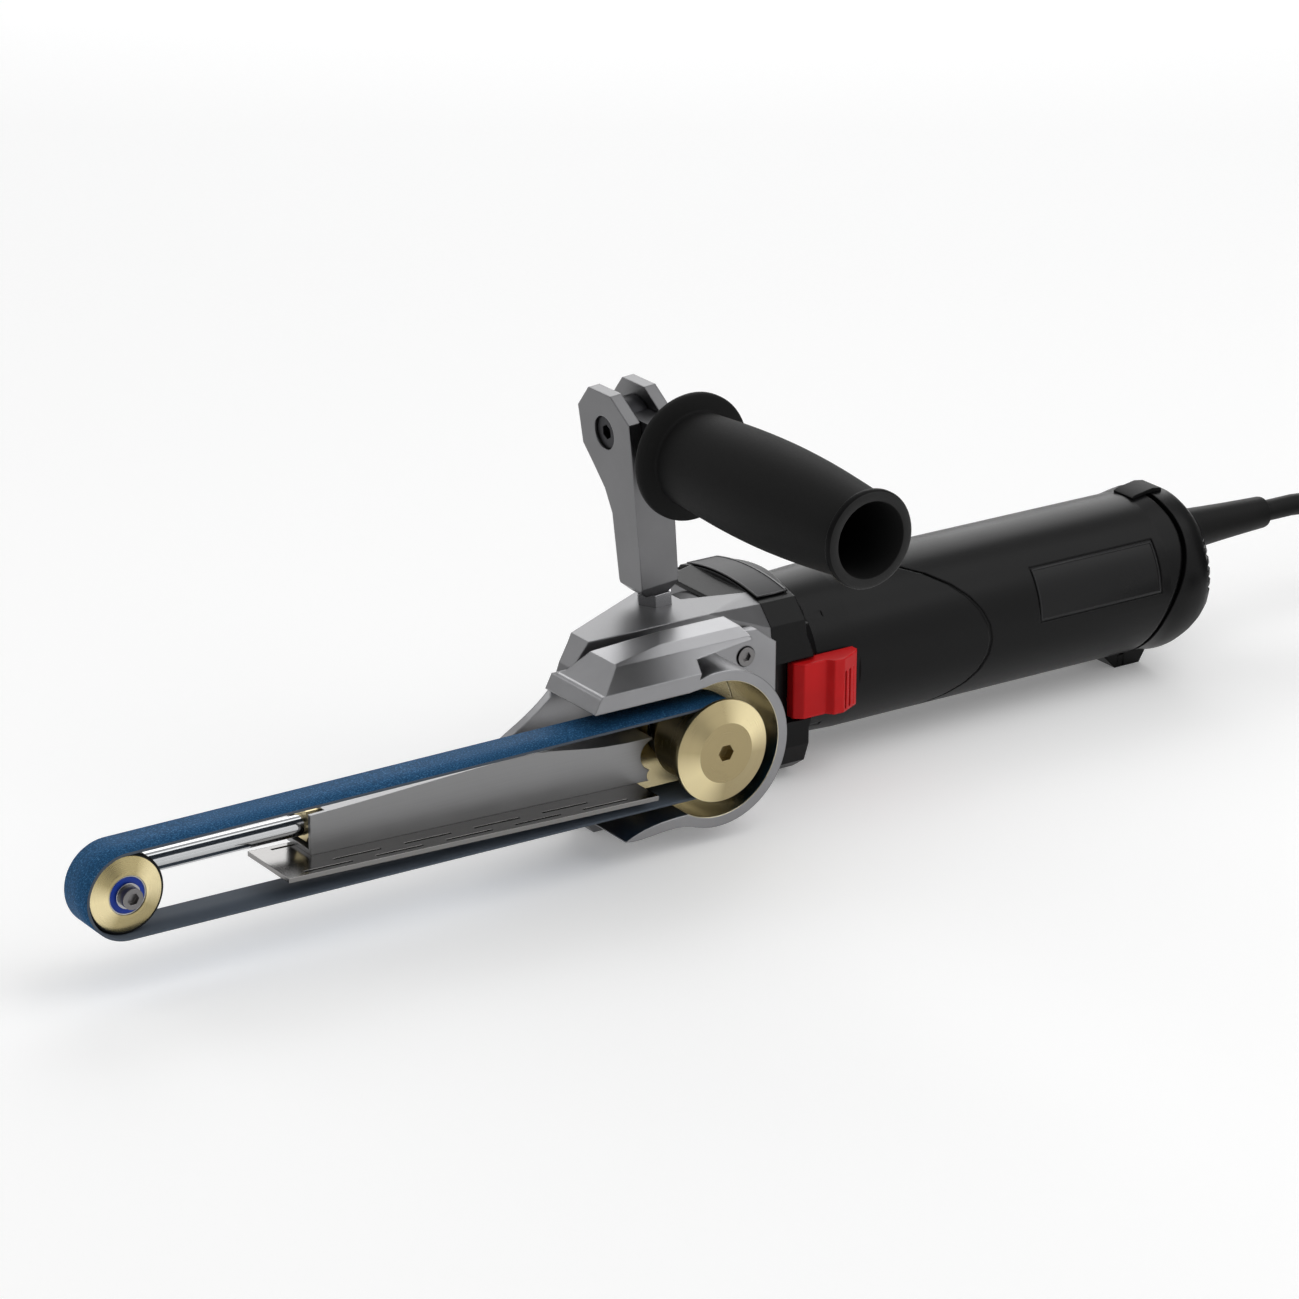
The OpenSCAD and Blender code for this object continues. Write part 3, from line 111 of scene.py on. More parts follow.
class Wire:
    """A shader value that adds Math nodes when it is used in an expression."""

    def __init__(self, graph: "Graph", socket: bpy.types.NodeSocket) -> None:
        """Keeps the graph and the output socket that carries the value."""
        self.graph = graph
        self.socket = socket

    def _math(self, operation: str, first: Any, second: Any) -> "Wire":
        """One Math node on two values."""
        return self.graph.add("ShaderNodeMath", {"operation": operation}, {0: first, 1: second})

    def __add__(self, other: Any) -> "Wire":
        """This value plus another."""
        return self._math("ADD", self, other)

    def __radd__(self, other: Any) -> "Wire":
        """A number plus this value."""
        return self._math("ADD", other, self)

    def __sub__(self, other: Any) -> "Wire":
        """This value less another."""
        return self._math("SUBTRACT", self, other)

    def __rsub__(self, other: Any) -> "Wire":
        """A number less this value."""
        return self._math("SUBTRACT", other, self)

    def __mul__(self, other: Any) -> "Wire":
        """This value times another."""
        return self._math("MULTIPLY", self, other)

    def __rmul__(self, other: Any) -> "Wire":
        """A number times this value."""
        return self._math("MULTIPLY", other, self)

    def __truediv__(self, other: Any) -> "Wire":
        """This value over another."""
        return self._math("DIVIDE", self, other)

    def __pow__(self, other: Any) -> "Wire":
        """This value to a power."""
        return self._math("POWER", self, other)

    def __gt__(self, other: Any) -> "Wire":
        """One where this value is the larger, otherwise nothing."""
        return self._math("GREATER_THAN", self, other)

    def __lt__(self, other: Any) -> "Wire":
        """One where this value is the smaller, otherwise nothing."""
        return self._math("LESS_THAN", self, other)


class Graph:
    """The node tree of one material or of the world."""

    def __init__(self, tree: bpy.types.NodeTree) -> None:
        """Takes over a tree and empties it."""
        self.tree = tree
        tree.nodes.clear()

    def add(self, kind: str, settings: dict[str, Any] | None = None,
            sockets: dict[Any, Any] | None = None, out: Any = 0) -> Wire:
        """Adds a node.

        Args:
            kind: the node's type.
            settings: attributes of the node, set first. "stops" fills a colour ramp.
            sockets: values or wires of its inputs, by name or number.
            out: name or number of the output that is wanted.
        Returns:
            The output as a wire.
        """
        node = self.tree.nodes.new(kind)
        for name, value in (settings or {}).items():
            if name == "stops":
                self._fill_ramp(node.color_ramp, value)
            else:
                setattr(node, name, value)
        for name, value in (sockets or {}).items():
            if isinstance(value, Wire):
                self.tree.links.new(value.socket, node.inputs[name])
            elif isinstance(value, tuple) and len(value) == 3 and node.inputs[name].type == "RGBA":
                node.inputs[name].default_value = (*value, 1.0)
            else:
                node.inputs[name].default_value = value
        return Wire(self, node.outputs[out]) if len(node.outputs) else Wire(self, None)

    @staticmethod
    def _fill_ramp(ramp: bpy.types.ColorRamp, stops: Sequence[tuple[float, float]]) -> None:
        """Sets a ramp's grey stops, given as place and value."""
        while len(ramp.elements) < len(stops):
            ramp.elements.new(0.5)
        for element, (place, value) in zip(ramp.elements, stops):
            element.position = place
            element.color = (value, value, value, 1.0)

    def coords(self) -> Wire:
        """Places on the piece, in metres of the row frame."""
        return self.add("ShaderNodeTexCoord", out="Object")

    def stretched(self, scale: tuple[float, float, float], shift: Sequence[float] = (0, 0, 0)) -> Wire:
        """Places shifted to a centre and then scaled along each axis.

        Args:
            scale: factor along each axis.
            shift: the point that becomes the centre.
        Returns:
            The new places.
        """
        moved = self.add("ShaderNodeVectorMath", {"operation": "SUBTRACT"}, {0: self.coords(), 1: tuple(shift)})
        return self.add("ShaderNodeVectorMath", {"operation": "MULTIPLY"}, {0: moved, 1: scale})

    def around(self, axis: tuple[float, float]) -> Wire:
        """Places across an axis along Y, counted from that axis."""
        return self.stretched((1.0, 0.0, 1.0), (axis[0], 0.0, axis[1]))

    def length(self, vector: Wire) -> Wire:
        """The length of a vector."""
        return self.add("ShaderNodeVectorMath", {"operation": "LENGTH"}, {0: vector}, out="Value")

    def noise(self, place: Wire, scale: float, detail: float = 2.0, rough: float = 0.5) -> Wire:
        """Soft noise about one half.

        Args:
            place: where the noise is read.
            scale: cycles per metre.
            detail: number of finer layers.
            rough: share of the finer layers.
        Returns:
            The noise.
        """
        return self.add("ShaderNodeTexNoise", {}, {
            "Vector": place, "Scale": scale, "Detail": detail, "Roughness": rough}, out=0)

    def ramp(self, value: Wire, *stops: tuple[float, float]) -> Wire:
        """A value bent through a list of stops."""
        return self.add("ShaderNodeValToRGB", {"stops": stops}, {"Fac": value})

    def mix(self, share: Any, first: Any, second: Any) -> Wire:
        """A colour between two others.

        Args:
            share: part of the second colour.
            first: colour at nothing.
            second: colour at one.
        Returns:
            The mixed colour.
        """
        return self.add("ShaderNodeMix", {"data_type": "RGBA"}, {0: share, 6: first, 7: second}, out=2)

    def rounded(self, radius: float) -> Wire:
        """The surface normal as if sharp edges had this radius."""
        return self.add("ShaderNodeBevel", {"samples": 6}, {"Radius": radius})

    def edges(self, rounded: Wire) -> Wire:
        """One along the rounded edges, falling to nothing on the faces."""
        flat = self.add("ShaderNodeNewGeometry", out="Normal")
        turn = self.add("ShaderNodeVectorMath", {"operation": "DOT_PRODUCT"}, {0: flat, 1: rounded}, out="Value")
        return self.ramp(1.0 - turn, (0.01, 0.0), (0.16, 1.0))

    def bump(self, height: Wire, strength: float, depth: float, below: Wire) -> Wire:
        """A surface normal from a height.

        Args:
            height: the height, from nothing to one.
            strength: share of the bump that shows.
            depth: the height of one, in metres.
            below: the normal that the bump is laid on.
        Returns:
            The normal.
        """
        return self.add("ShaderNodeBump", {}, {
            "Height": height, "Strength": strength, "Distance": depth, "Normal": below})

    def seen(self) -> Wire:
        """One for the rays that make the picture and its reflections, otherwise nothing."""
        rays = [self.add("ShaderNodeLightPath", out=name)
                for name in ("Is Camera Ray", "Is Glossy Ray", "Is Transmission Ray")]
        return self.add("ShaderNodeClamp", {}, {"Value": rays[0] + rays[1] + rays[2]})

    def surface(self, **sockets: Any) -> None:
        """Ends the tree in one principled surface with these sockets."""
        named = {name.replace("_", " "): value for name, value in sockets.items()}
        shader = self.add("ShaderNodeBsdfPrincipled", {}, named)
        self.add("ShaderNodeOutputMaterial", {}, {"Surface": shader})


@dataclass(frozen=True)
class Finish:
    """A material with its colour and gloss."""

    name: str
    colour: Colour
    rough: float
    made: ClassVar[dict[str, bpy.types.Material]] = {}

    def material(self) -> bpy.types.Material:
        """The finish as a Blender material, made once."""
        if self.name not in self.made:
            new = bpy.data.materials.new(self.name)
            new.use_nodes = True
            self.paint(Graph(new.node_tree))
            new.diffuse_color = (*self.colour, 1.0)
            self.made[self.name] = new
        return self.made[self.name]

    def shade(self, factor: float) -> Colour:
        """The colour made darker or lighter."""
        return tuple(min(1.0, channel * factor) for channel in self.colour)

    def paint(self, graph: Graph) -> None:
        """Builds the nodes."""
        raise NotImplementedError


@dataclass(frozen=True)
class CastMetal(Finish):
    """Die-cast metal with a fine skin, slow changes of tone, and edges painted lighter: wear, with a painted highlight
    along the rounded edges.
    """

    grain: float = 2200.0
    depth: float = 0.00002
    edge: float = 0.0004
    edge_wear_and_highlight: float = 0.5

    def paint(self, graph: Graph) -> None:
        """Builds the nodes."""
        place = graph.coords()
        skin = graph.noise(place, self.grain, 3.0, 0.6)
        cloud = graph.noise(place, 55.0, 3.0, 0.55)
        rounded = graph.rounded(self.edge)
        # Edges painted lighter: wear where the cloud allows, and a painted highlight along the rounded edges.
        rubbed_and_lit_edges = graph.edges(rounded) * graph.ramp(cloud, (0.35, 0.2), (0.65, 1.0))
        tone = graph.mix(graph.ramp(cloud, (0.3, 0.0), (0.7, 1.0)), self.shade(0.92), self.shade(1.06))
        tone = graph.mix(self.edge_wear_and_highlight * rubbed_and_lit_edges, tone, self.shade(1.7))
        rough = self.rough + 0.08 * (cloud - 0.5) + 0.08 * (skin - 0.5) - 0.08 * rubbed_and_lit_edges
        tone, rough = self.bored(graph, tone, rough)
        normal = graph.bump(skin, 0.5, self.depth, rounded)
        graph.surface(Base_Color=tone, Metallic=1.0, Roughness=rough, Normal=normal)

    def bored(self, graph: Graph, tone: Wire, rough: Wire) -> tuple[Wire, Wire]:
        """Colour and roughness, changed where the metal has a bore. Plain castings have none."""
        return tone, rough


@dataclass(frozen=True)
class BoredMetal(CastMetal):
    """Die-cast metal with a polished bore along Y, with a painted reflection of the brass that turns inside it."""

    axis: tuple[float, float] = (0.0, 0.0)
    bore: float = 0.0
    painted_brass_reflection: Colour = (0.60, 0.55, 0.41)

    def bored(self, graph: Graph, tone: Wire, rough: Wire) -> tuple[Wire, Wire]:
        """Colour and roughness, changed inside the bore: the colour carries a painted reflection of the brass, and the
        bore is smoother.
        """
        inside = graph.length(graph.around(self.axis)) < self.bore
        # Painted reflection of the brass inside the bore.
        return graph.mix(inside, tone, self.painted_brass_reflection), rough - 0.14 * inside


@dataclass(frozen=True)
class TurnedMetal(Finish):
    """Metal turned on a lathe, with rings round an axis along Y and a painted highlight that fans out from it."""

    axis: tuple[float, float] = (0.0, 0.0)
    disc: float = 0.0
    # Colour of the painted highlight.
    highlight_colour: Colour = (0.94, 0.81, 0.48)
    fan: float = 40.0
    rings: float = 2600.0
    depth: float = 0.00002
    edge: float = 0.0003

    def paint(self, graph: Graph) -> None:
        """Builds the nodes."""
        flat = graph.around(self.axis)
        radius = graph.length(flat)
        depth = graph.add("ShaderNodeSeparateXYZ", {}, {0: graph.coords()}, out="Y")
        across = graph.add("ShaderNodeCombineXYZ", {}, {0: radius, 1: depth, 2: 0.0})
        lines = graph.noise(across, self.rings, 2.0, 0.7)
        bands = graph.noise(across, 260.0, 2.0, 0.5)
        tarnish = graph.noise(graph.coords(), 120.0, 3.0, 0.6)
        tone = graph.mix(0.6 * bands + 0.4 * tarnish, self.shade(0.66), self.shade(0.90))
        # Painted highlight: two lobes along the fan's line, left off inside the flat disc.
        tone = graph.mix(self._painted_highlight(graph, flat) * (radius > self.disc), tone, self.highlight_colour)
        rough = self.rough + 0.14 * (lines - 0.5) + 0.08 * (tarnish - 0.5)
        normal = graph.bump(lines, 0.4, self.depth, graph.rounded(self.edge))
        graph.surface(Base_Color=tone, Metallic=1.0, Roughness=rough, Normal=normal)

    def _painted_highlight(self, graph: Graph, flat: Wire) -> Wire:
        """Share of the painted highlight's colour, most along the fan's line and least across it."""
        line = (math.cos(math.radians(self.fan)), 0.0, math.sin(math.radians(self.fan)))
        ray = graph.add("ShaderNodeVectorMath", {"operation": "NORMALIZE"}, {0: flat})
        along = graph.add("ShaderNodeVectorMath", {"operation": "DOT_PRODUCT"}, {0: ray, 1: line}, out="Value")
        return graph.ramp(along * along, (0.40, 0.10), (0.95, 0.90))


@dataclass(frozen=True)
class DrawnMetal(Finish):
    """Metal ground or drawn along X, with long fine lines."""

    lines: float = 3000.0
    depth: float = 0.00002
    stretch: float = 0.01
    edge: float = 0.0003

    def paint(self, graph: Graph) -> None:
        """Builds the nodes."""
        streak = graph.noise(graph.stretched((self.stretch, 1.0, 1.0)), self.lines, 2.0, 0.6)
        cloud = graph.noise(graph.coords(), 40.0, 2.0, 0.5)
        rounded = graph.rounded(self.edge)
        tone = graph.mix(0.6 * streak + 0.4 * cloud, self.shade(0.88), self.shade(1.1))
        # Edges painted lighter: a painted highlight along the rounded edges.
        tone = graph.mix(0.4 * graph.edges(rounded), tone, self.shade(1.6))
        rough = self.rough + 0.08 * (streak - 0.5) + 0.05 * (cloud - 0.5)
        normal = graph.bump(streak, 0.4, self.depth, rounded)
        graph.surface(Base_Color=tone, Metallic=1.0, Roughness=rough, Normal=normal)


@dataclass(frozen=True)
class Plastic(Finish):
    """Moulded plastic with a spark-eroded grain, and edges polished by handling and painted lighter, with a painted
    highlight along the rounded edges.
    """

    grain: float = 1500.0
    depth: float = 0.00002
    shine: float = 0.15
    edge: float = 0.0005

    def paint(self, graph: Graph) -> None:
        """Builds the nodes."""
        place = graph.coords()
        pebbles = graph.add("ShaderNodeTexVoronoi", {}, {"Vector": place, "Scale": self.grain})
        cloud = graph.noise(place, 34.0, 3.0, 0.6)
        rounded = graph.rounded(self.edge)
        worn_and_lit_edges = graph.edges(rounded)
        tone = graph.mix(graph.ramp(cloud, (0.3, 0.0), (0.7, 1.0)), self.shade(0.88), self.shade(1.12))
        # Edges painted lighter: wear, and a painted highlight along the rounded edges.
        tone = graph.mix(0.35 * worn_and_lit_edges, tone, self.shade(1.9))
        rough = self.rough + 0.10 * (cloud - 0.5) + 0.05 * (pebbles - 0.5) - 0.08 * worn_and_lit_edges
        normal = graph.bump(pebbles, 0.35, self.depth, rounded)
        graph.surface(Base_Color=tone, Roughness=rough, Specular_IOR_Level=self.shine, Normal=normal)


@dataclass(frozen=True)
class AbrasiveCloth(Finish):
    """Abrasive grains on cloth, with paler tips and dark gaps between them."""

    grit: float = 2600.0
    tip: Colour = (0.12, 0.30, 0.50)

    def paint(self, graph: Graph) -> None:
        """Builds the nodes."""
        place = graph.coords()
        grains = graph.add("ShaderNodeTexVoronoi", {}, {"Vector": place, "Scale": self.grit})
        speck = graph.noise(place, self.grit * 0.7, 3.0, 0.7)
        wear = graph.noise(place, 60.0, 3.0, 0.6)
        body = graph.mix(graph.ramp(speck, (0.42, 0.0), (0.62, 1.0)), self.shade(0.65), self.shade(1.3))
        tone = graph.mix(graph.ramp(speck, (0.58, 0.0), (0.70, 0.8)), body, self.tip)
        rough = self.rough - 0.15 * wear
        normal = graph.bump(1.0 - grains, 0.7, 0.00012, graph.rounded(0.0002))
        graph.surface(Base_Color=tone, Roughness=rough, Specular_IOR_Level=0.15, Normal=normal)


@dataclass(frozen=True)
class Weave(Finish):
    """Backing cloth with a plain weave along X and Y."""

    threads: float = 1900.0

    def paint(self, graph: Graph) -> None:
        """Builds the nodes."""
        place = graph.coords()
        warp = graph.add("ShaderNodeTexWave", {"wave_type": "BANDS", "bands_direction": "X"},
                         {"Vector": place, "Scale": self.threads / 3, "Distortion": 0.6})
        weft = graph.add("ShaderNodeTexWave", {"wave_type": "BANDS", "bands_direction": "Y"},
                         {"Vector": place, "Scale": self.threads / 3, "Distortion": 0.6})
        height = graph.add("ShaderNodeMath", {"operation": "MAXIMUM"}, {0: warp, 1: weft})
        stain = graph.noise(place, 90.0, 3.0, 0.6)
        tone = graph.mix(0.5 * height + 0.5 * stain, self.shade(0.75), self.shade(1.2))
        normal = graph.bump(height, 0.4, 0.00005, graph.rounded(0.0002))
        graph.surface(Base_Color=tone, Roughness=self.rough + 0.1 * (stain - 0.5), Specular_IOR_Level=0.2,
                      Normal=normal)


ALUMINIUM = CastMetal("cast_aluminium", (0.30, 0.30, 0.31), 0.34, edge=0.0007)
GUARD_METAL = BoredMetal("guard_aluminium", (0.28, 0.28, 0.288), 0.34, edge=0.0007, axis=(DRIVE_AXIS.x, DRIVE_AXIS.z),
                         bore=0.0238)
HEAD_METAL = CastMetal("head_aluminium", (0.20, 0.20, 0.205), 0.42, edge=0.0007)
BRACKET_METAL = CastMetal("bracket_aluminium", (0.165, 0.165, 0.169), 0.36, edge=0.0007)
ARM_METAL = DrawnMetal("satin_aluminium", (0.29, 0.29, 0.293), 0.40, depth=0.000006)
# Both brasses carry a painted highlight that fans out from their axis.
BRASS = TurnedMetal("turned_brass", (0.48, 0.39, 0.21), 0.30, (DRIVE_AXIS.x, DRIVE_AXIS.z), 0.0103)
TIP_BRASS = TurnedMetal("tip_brass", (0.50, 0.41, 0.20), 0.28, (TIP_AXIS.x, TIP_AXIS.z), fan=16.0)
STEEL = CastMetal("bright_steel", (0.42, 0.42, 0.43), 0.24, 3000.0, 0.00001, 0.0003)
DARK_STEEL = CastMetal("dark_steel", (0.035, 0.035, 0.038), 0.42, 3000.0, 0.00001, 0.0003)
GEAR_STEEL = CastMetal("gear_steel", (0.22, 0.22, 0.23), 0.32, 2600.0, 0.00002, 0.0003)
SCREW_STEEL = CastMetal("screw_steel", (0.20, 0.195, 0.195), 0.34, 3000.0, 0.00001, 0.0003)
CHROME = DrawnMetal("chrome_rod", (0.52, 0.53, 0.54), 0.06, 3000.0, 0.0000003, 0.02)
PLATEN_STEEL = DrawnMetal("polished_steel", (0.225, 0.22, 0.215), 0.20, 2400.0, 0.000004)
PLAQUE_METAL = DrawnMetal("plaque_metal", (0.021, 0.021, 0.022), 0.42, 2600.0, 0.000008)
PLAQUE_RIM = CastMetal("plaque_rim", (0.070, 0.070, 0.072), 0.36, 2600.0, 0.00001, 0.0002)
BODY_BLACK = Plastic("body_plastic", (0.0028, 0.0028, 0.0030), 0.33, shine=0.16, edge=0.0008)
GRIP_BLACK = Plastic("grip_plastic", (0.0110, 0.0110, 0.0110), 0.66, 1200.0, 0.00003, 0.10, 0.0006)
PANEL_BLACK = Plastic("panel_plastic", (0.0060, 0.0060, 0.0064), 0.30, 2500.0, 0.000001, 0.20, 0.0002)
PANEL_RIM = Plastic("panel_rim", (0.024, 0.024, 0.025), 0.34, 2500.0, 0.000001, 0.22, 0.0002)
CLIP_BLACK = Plastic("clip_plastic", (0.0030, 0.0030, 0.0032), 0.46, shine=0.10, edge=0.0006)
# A lighter copy of the grip plastic: painted light on the grip's end face.
LIT_GRIP_RIM = Plastic("grip_rim_painted_light", (0.024, 0.024, 0.024), 0.52, 1200.0, 0.00002, 0.12, 0.0006)
RED = Plastic("red_plastic", (0.64, 0.010, 0.012), 0.34, 1600.0, 0.00001, 0.14, 0.0012)
RUBBER = Plastic("cord_rubber", (0.0075, 0.0075, 0.0075), 0.50, 900.0, 0.00003)
TYRE = Plastic("black_rubber", (0.0050, 0.0050, 0.0053), 0.60, 1100.0, 0.00004)
SEAL = Plastic("blue_seal", (0.016, 0.055, 0.40), 0.34, 1800.0, 0.00001, 0.2)
GRIT = AbrasiveCloth("abrasive_grains", (0.017, 0.092, 0.215), 0.80)
BACKING = Weave("belt_backing", (0.080, 0.098, 0.124), 0.72)
LAMINATION = DrawnMetal("laminations", (0.16, 0.16, 0.17), 0.45)
COPPER = CastMetal("copper_wire", (0.62, 0.26, 0.11), 0.30, 1500.0, 0.00004)
CARBON = CastMetal("carbon", (0.02, 0.02, 0.02), 0.6, 1800.0, 0.00004)

SLOT_FINISH: dict[str, Finish] = {
    "abrasive_cloth": GRIT, "brass": BRASS, "bright_steel": STEEL, "gear_steel": GEAR_STEEL, "black_rubber": TYRE,
    "blue_seal": SEAL, "chrome_rod": CHROME, "satin_aluminium": ARM_METAL, "polished_steel": PLATEN_STEEL,
    "cast_aluminium": ALUMINIUM, "plaque_metal": PLAQUE_METAL, "body_plastic": BODY_BLACK, "grip_plastic": GRIP_BLACK,
    "red_plastic": RED, "cord_rubber": RUBBER, "laminations": LAMINATION, "copper_wire": COPPER, "carbon": CARBON,
}


class Way(Enum):
    """The axis that a turned piece lies along."""

    ALONG_X = (1.0, 0.0, 0.0)
    ALONG_Y = (0.0, 1.0, 0.0)


class Bench:
    """Hand steps that shape a piece with the modelling operators."""

    @staticmethod
    def clear() -> None:
        """Leaves edit mode and deselects everything."""
        if bpy.context.object is not None and bpy.context.object.mode != "OBJECT":
            bpy.ops.object.mode_set(mode="OBJECT")
        bpy.ops.object.select_all(action="DESELECT")

    @classmethod
    def hold(cls, piece: bpy.types.Object) -> None:
        """Selects one piece alone and makes it active."""
        cls.clear()
        piece.select_set(True)
        bpy.context.view_layer.objects.active = piece

    @classmethod
    def apply(cls, piece: bpy.types.Object, kind: str, **settings: Any) -> None:
        """Adds a modifier and applies it.

        Args:
            piece: the piece.
            kind: the modifier's type.
            settings: attributes of the modifier.
        """
        cls.hold(piece)
        modifier = piece.modifiers.new(kind.lower(), kind)
        for name, value in settings.items():
            setattr(modifier, name, value)
        bpy.ops.object.modifier_apply(modifier=modifier.name)

    @classmethod
    def smooth(cls, piece: bpy.types.Object, angle: float = 32.0) -> None:
        """Shades a piece smoothly up to an angle in degrees."""
        cls.hold(piece)
        bpy.ops.object.shade_smooth_by_angle(angle=math.radians(angle))

    @classmethod
    def chain(cls, name: str, points: Sequence[Vector]) -> bpy.types.Object:
        """Starts a piece from one point and draws it out into a line. Leaves it in edit mode, all selected.

        Args:
            name: the piece's name.
            points: the line's points.
        Returns:
            The piece.
        """
        cls.clear()
        bpy.ops.mesh.primitive_plane_add(size=MM, location=points[0])
        piece = bpy.context.object
        piece.name = name
        bpy.ops.object.mode_set(mode="EDIT")
        bpy.ops.mesh.select_all(action="SELECT")
        bpy.ops.mesh.merge(type="CENTER")
        for here, there in zip(points, points[1:]):
            bpy.ops.mesh.extrude_region_move(TRANSFORM_OT_translate={"value": there - here})
        bpy.ops.mesh.select_all(action="SELECT")
        return piece

    @classmethod
    def close(cls, piece: bpy.types.Object, angle: float = 32.0) -> bpy.types.Object:
        """Merges doubles, turns the faces outwards, puts the piece at the origin and smooths it.

        Args:
            piece: the piece, in edit mode.
            angle: edges sharper than this many degrees stay sharp.
        Returns:
            The piece.
        """
        bpy.ops.mesh.select_all(action="SELECT")
        bpy.ops.mesh.remove_doubles(threshold=0.002 * MM)
        bpy.ops.mesh.normals_make_consistent(inside=False)
        bpy.ops.object.mode_set(mode="OBJECT")
        bpy.ops.object.transform_apply(location=True, rotation=True, scale=True)
        cls.smooth(piece, angle)
        return piece

    @classmethod
    def lathe(cls, name: str, profile: Sequence[tuple[float, float]], way: Way, centre: Vector,
              steps: int = 96) -> bpy.types.Object:
        """Turns a profile round an axis.

        Args:
            name: the piece's name.
            profile: radius and distance along the axis, in millimetres.
            way: the axis.
            centre: a point on the axis, from which the distances count.
            steps: number of steps round.
        Returns:
            The turned piece.
        """
        along = Vector(way.value)
        points = [centre + (Vector((0.0, 0.0, radius)) + along * distance) * MM for radius, distance in profile]
        piece = cls.chain(name, points)
        bpy.ops.mesh.spin(steps=steps, angle=2 * math.pi, center=centre, axis=along)
        return cls.close(piece)

    @classmethod
    def prism(cls, name: str, outline: Sequence[Vector], depth: float) -> bpy.types.Object:
        """Fills a flat outline and draws it out along Y.

        Args:
            name: the piece's name.
            outline: the corners, in order.
            depth: length along Y, in millimetres.
        Returns:
            The piece.
        """
        piece = cls.chain(name, [*outline, outline[0]])
        bpy.ops.mesh.remove_doubles(threshold=0.002 * MM)
        bpy.ops.mesh.edge_face_add()
        bpy.ops.mesh.extrude_region_move(TRANSFORM_OT_translate={"value": (0.0, depth * MM, 0.0)})
        return cls.close(piece)

    @classmethod
    def carve(cls, piece: bpy.types.Object, tool: bpy.types.Object, operation: str) -> None:
        """Joins, cuts or crosses a piece with a tool, which is used up.

        Args:
            piece: the piece.
            tool: the solid to work with.
            operation: UNION, DIFFERENCE or INTERSECT.
        """
        cls.apply(piece, "BOOLEAN", object=tool, operation=operation, solver="EXACT")
        bpy.data.objects.remove(tool)

    @classmethod
    def patch(cls, name: str, edge: tuple[Vector, Vector], centre: Vector, angle: float,
              steps: int = 24) -> bpy.types.Object:
        """Sweeps an edge along X round an axis along X into a curved sheet. Leaves it in edit mode.

        Args:
            name: the piece's name.
            edge: the two ends of the edge.
            centre: a point on the axis.
            angle: how far the edge sweeps, in radians.
            steps: number of steps.
        Returns:
            The sheet.
        """
        piece = cls.chain(name, edge)
        bpy.ops.mesh.spin(steps=steps, angle=-angle, center=centre, axis=Way.ALONG_X.value)
        bpy.ops.mesh.select_all(action="SELECT")
        bpy.ops.mesh.remove_doubles(threshold=0.002 * MM)
        return piece

    @classmethod
    def paint_faces(cls, piece: bpy.types.Object, finish: Finish, test: Test) -> None:
        """Gives the faces that pass a test another finish.

        Args:
            piece: the piece.
            finish: the finish.
            test: told each face's middle and normal.
        """
        cls.hold(piece)
        piece.data.materials.append(finish.material())
        piece.active_material_index = len(piece.data.materials) - 1
        bpy.ops.object.mode_set(mode="EDIT")
        bpy.ops.mesh.select_mode(type="FACE")
        bpy.ops.mesh.select_all(action="DESELECT")
        bpy.ops.object.mode_set(mode="OBJECT")
        for face in piece.data.polygons:
            face.select = test(face.center, face.normal)
        bpy.ops.object.mode_set(mode="EDIT")
        bpy.ops.object.material_slot_assign()
        bpy.ops.mesh.select_mode(type="VERT")
        bpy.ops.object.mode_set(mode="OBJECT")

    @staticmethod
    def dress(piece: bpy.types.Object, finish: Finish, body: str, *nodes: str) -> bpy.types.Object:
        """Paints a piece, sets it riding and hides the solids that it stands for.

        Args:
            piece: the piece.
            finish: its finish.
            body: the body that carries it.
            nodes: the solids that it stands for.
        Returns:
            The piece.
        """
        piece.data.materials.clear()
        piece.data.materials.append(finish.material())
        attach(piece, body)
        if nodes:
            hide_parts(*nodes)
        LOG.info("piece %s on %s", piece.name, body)
        return piece


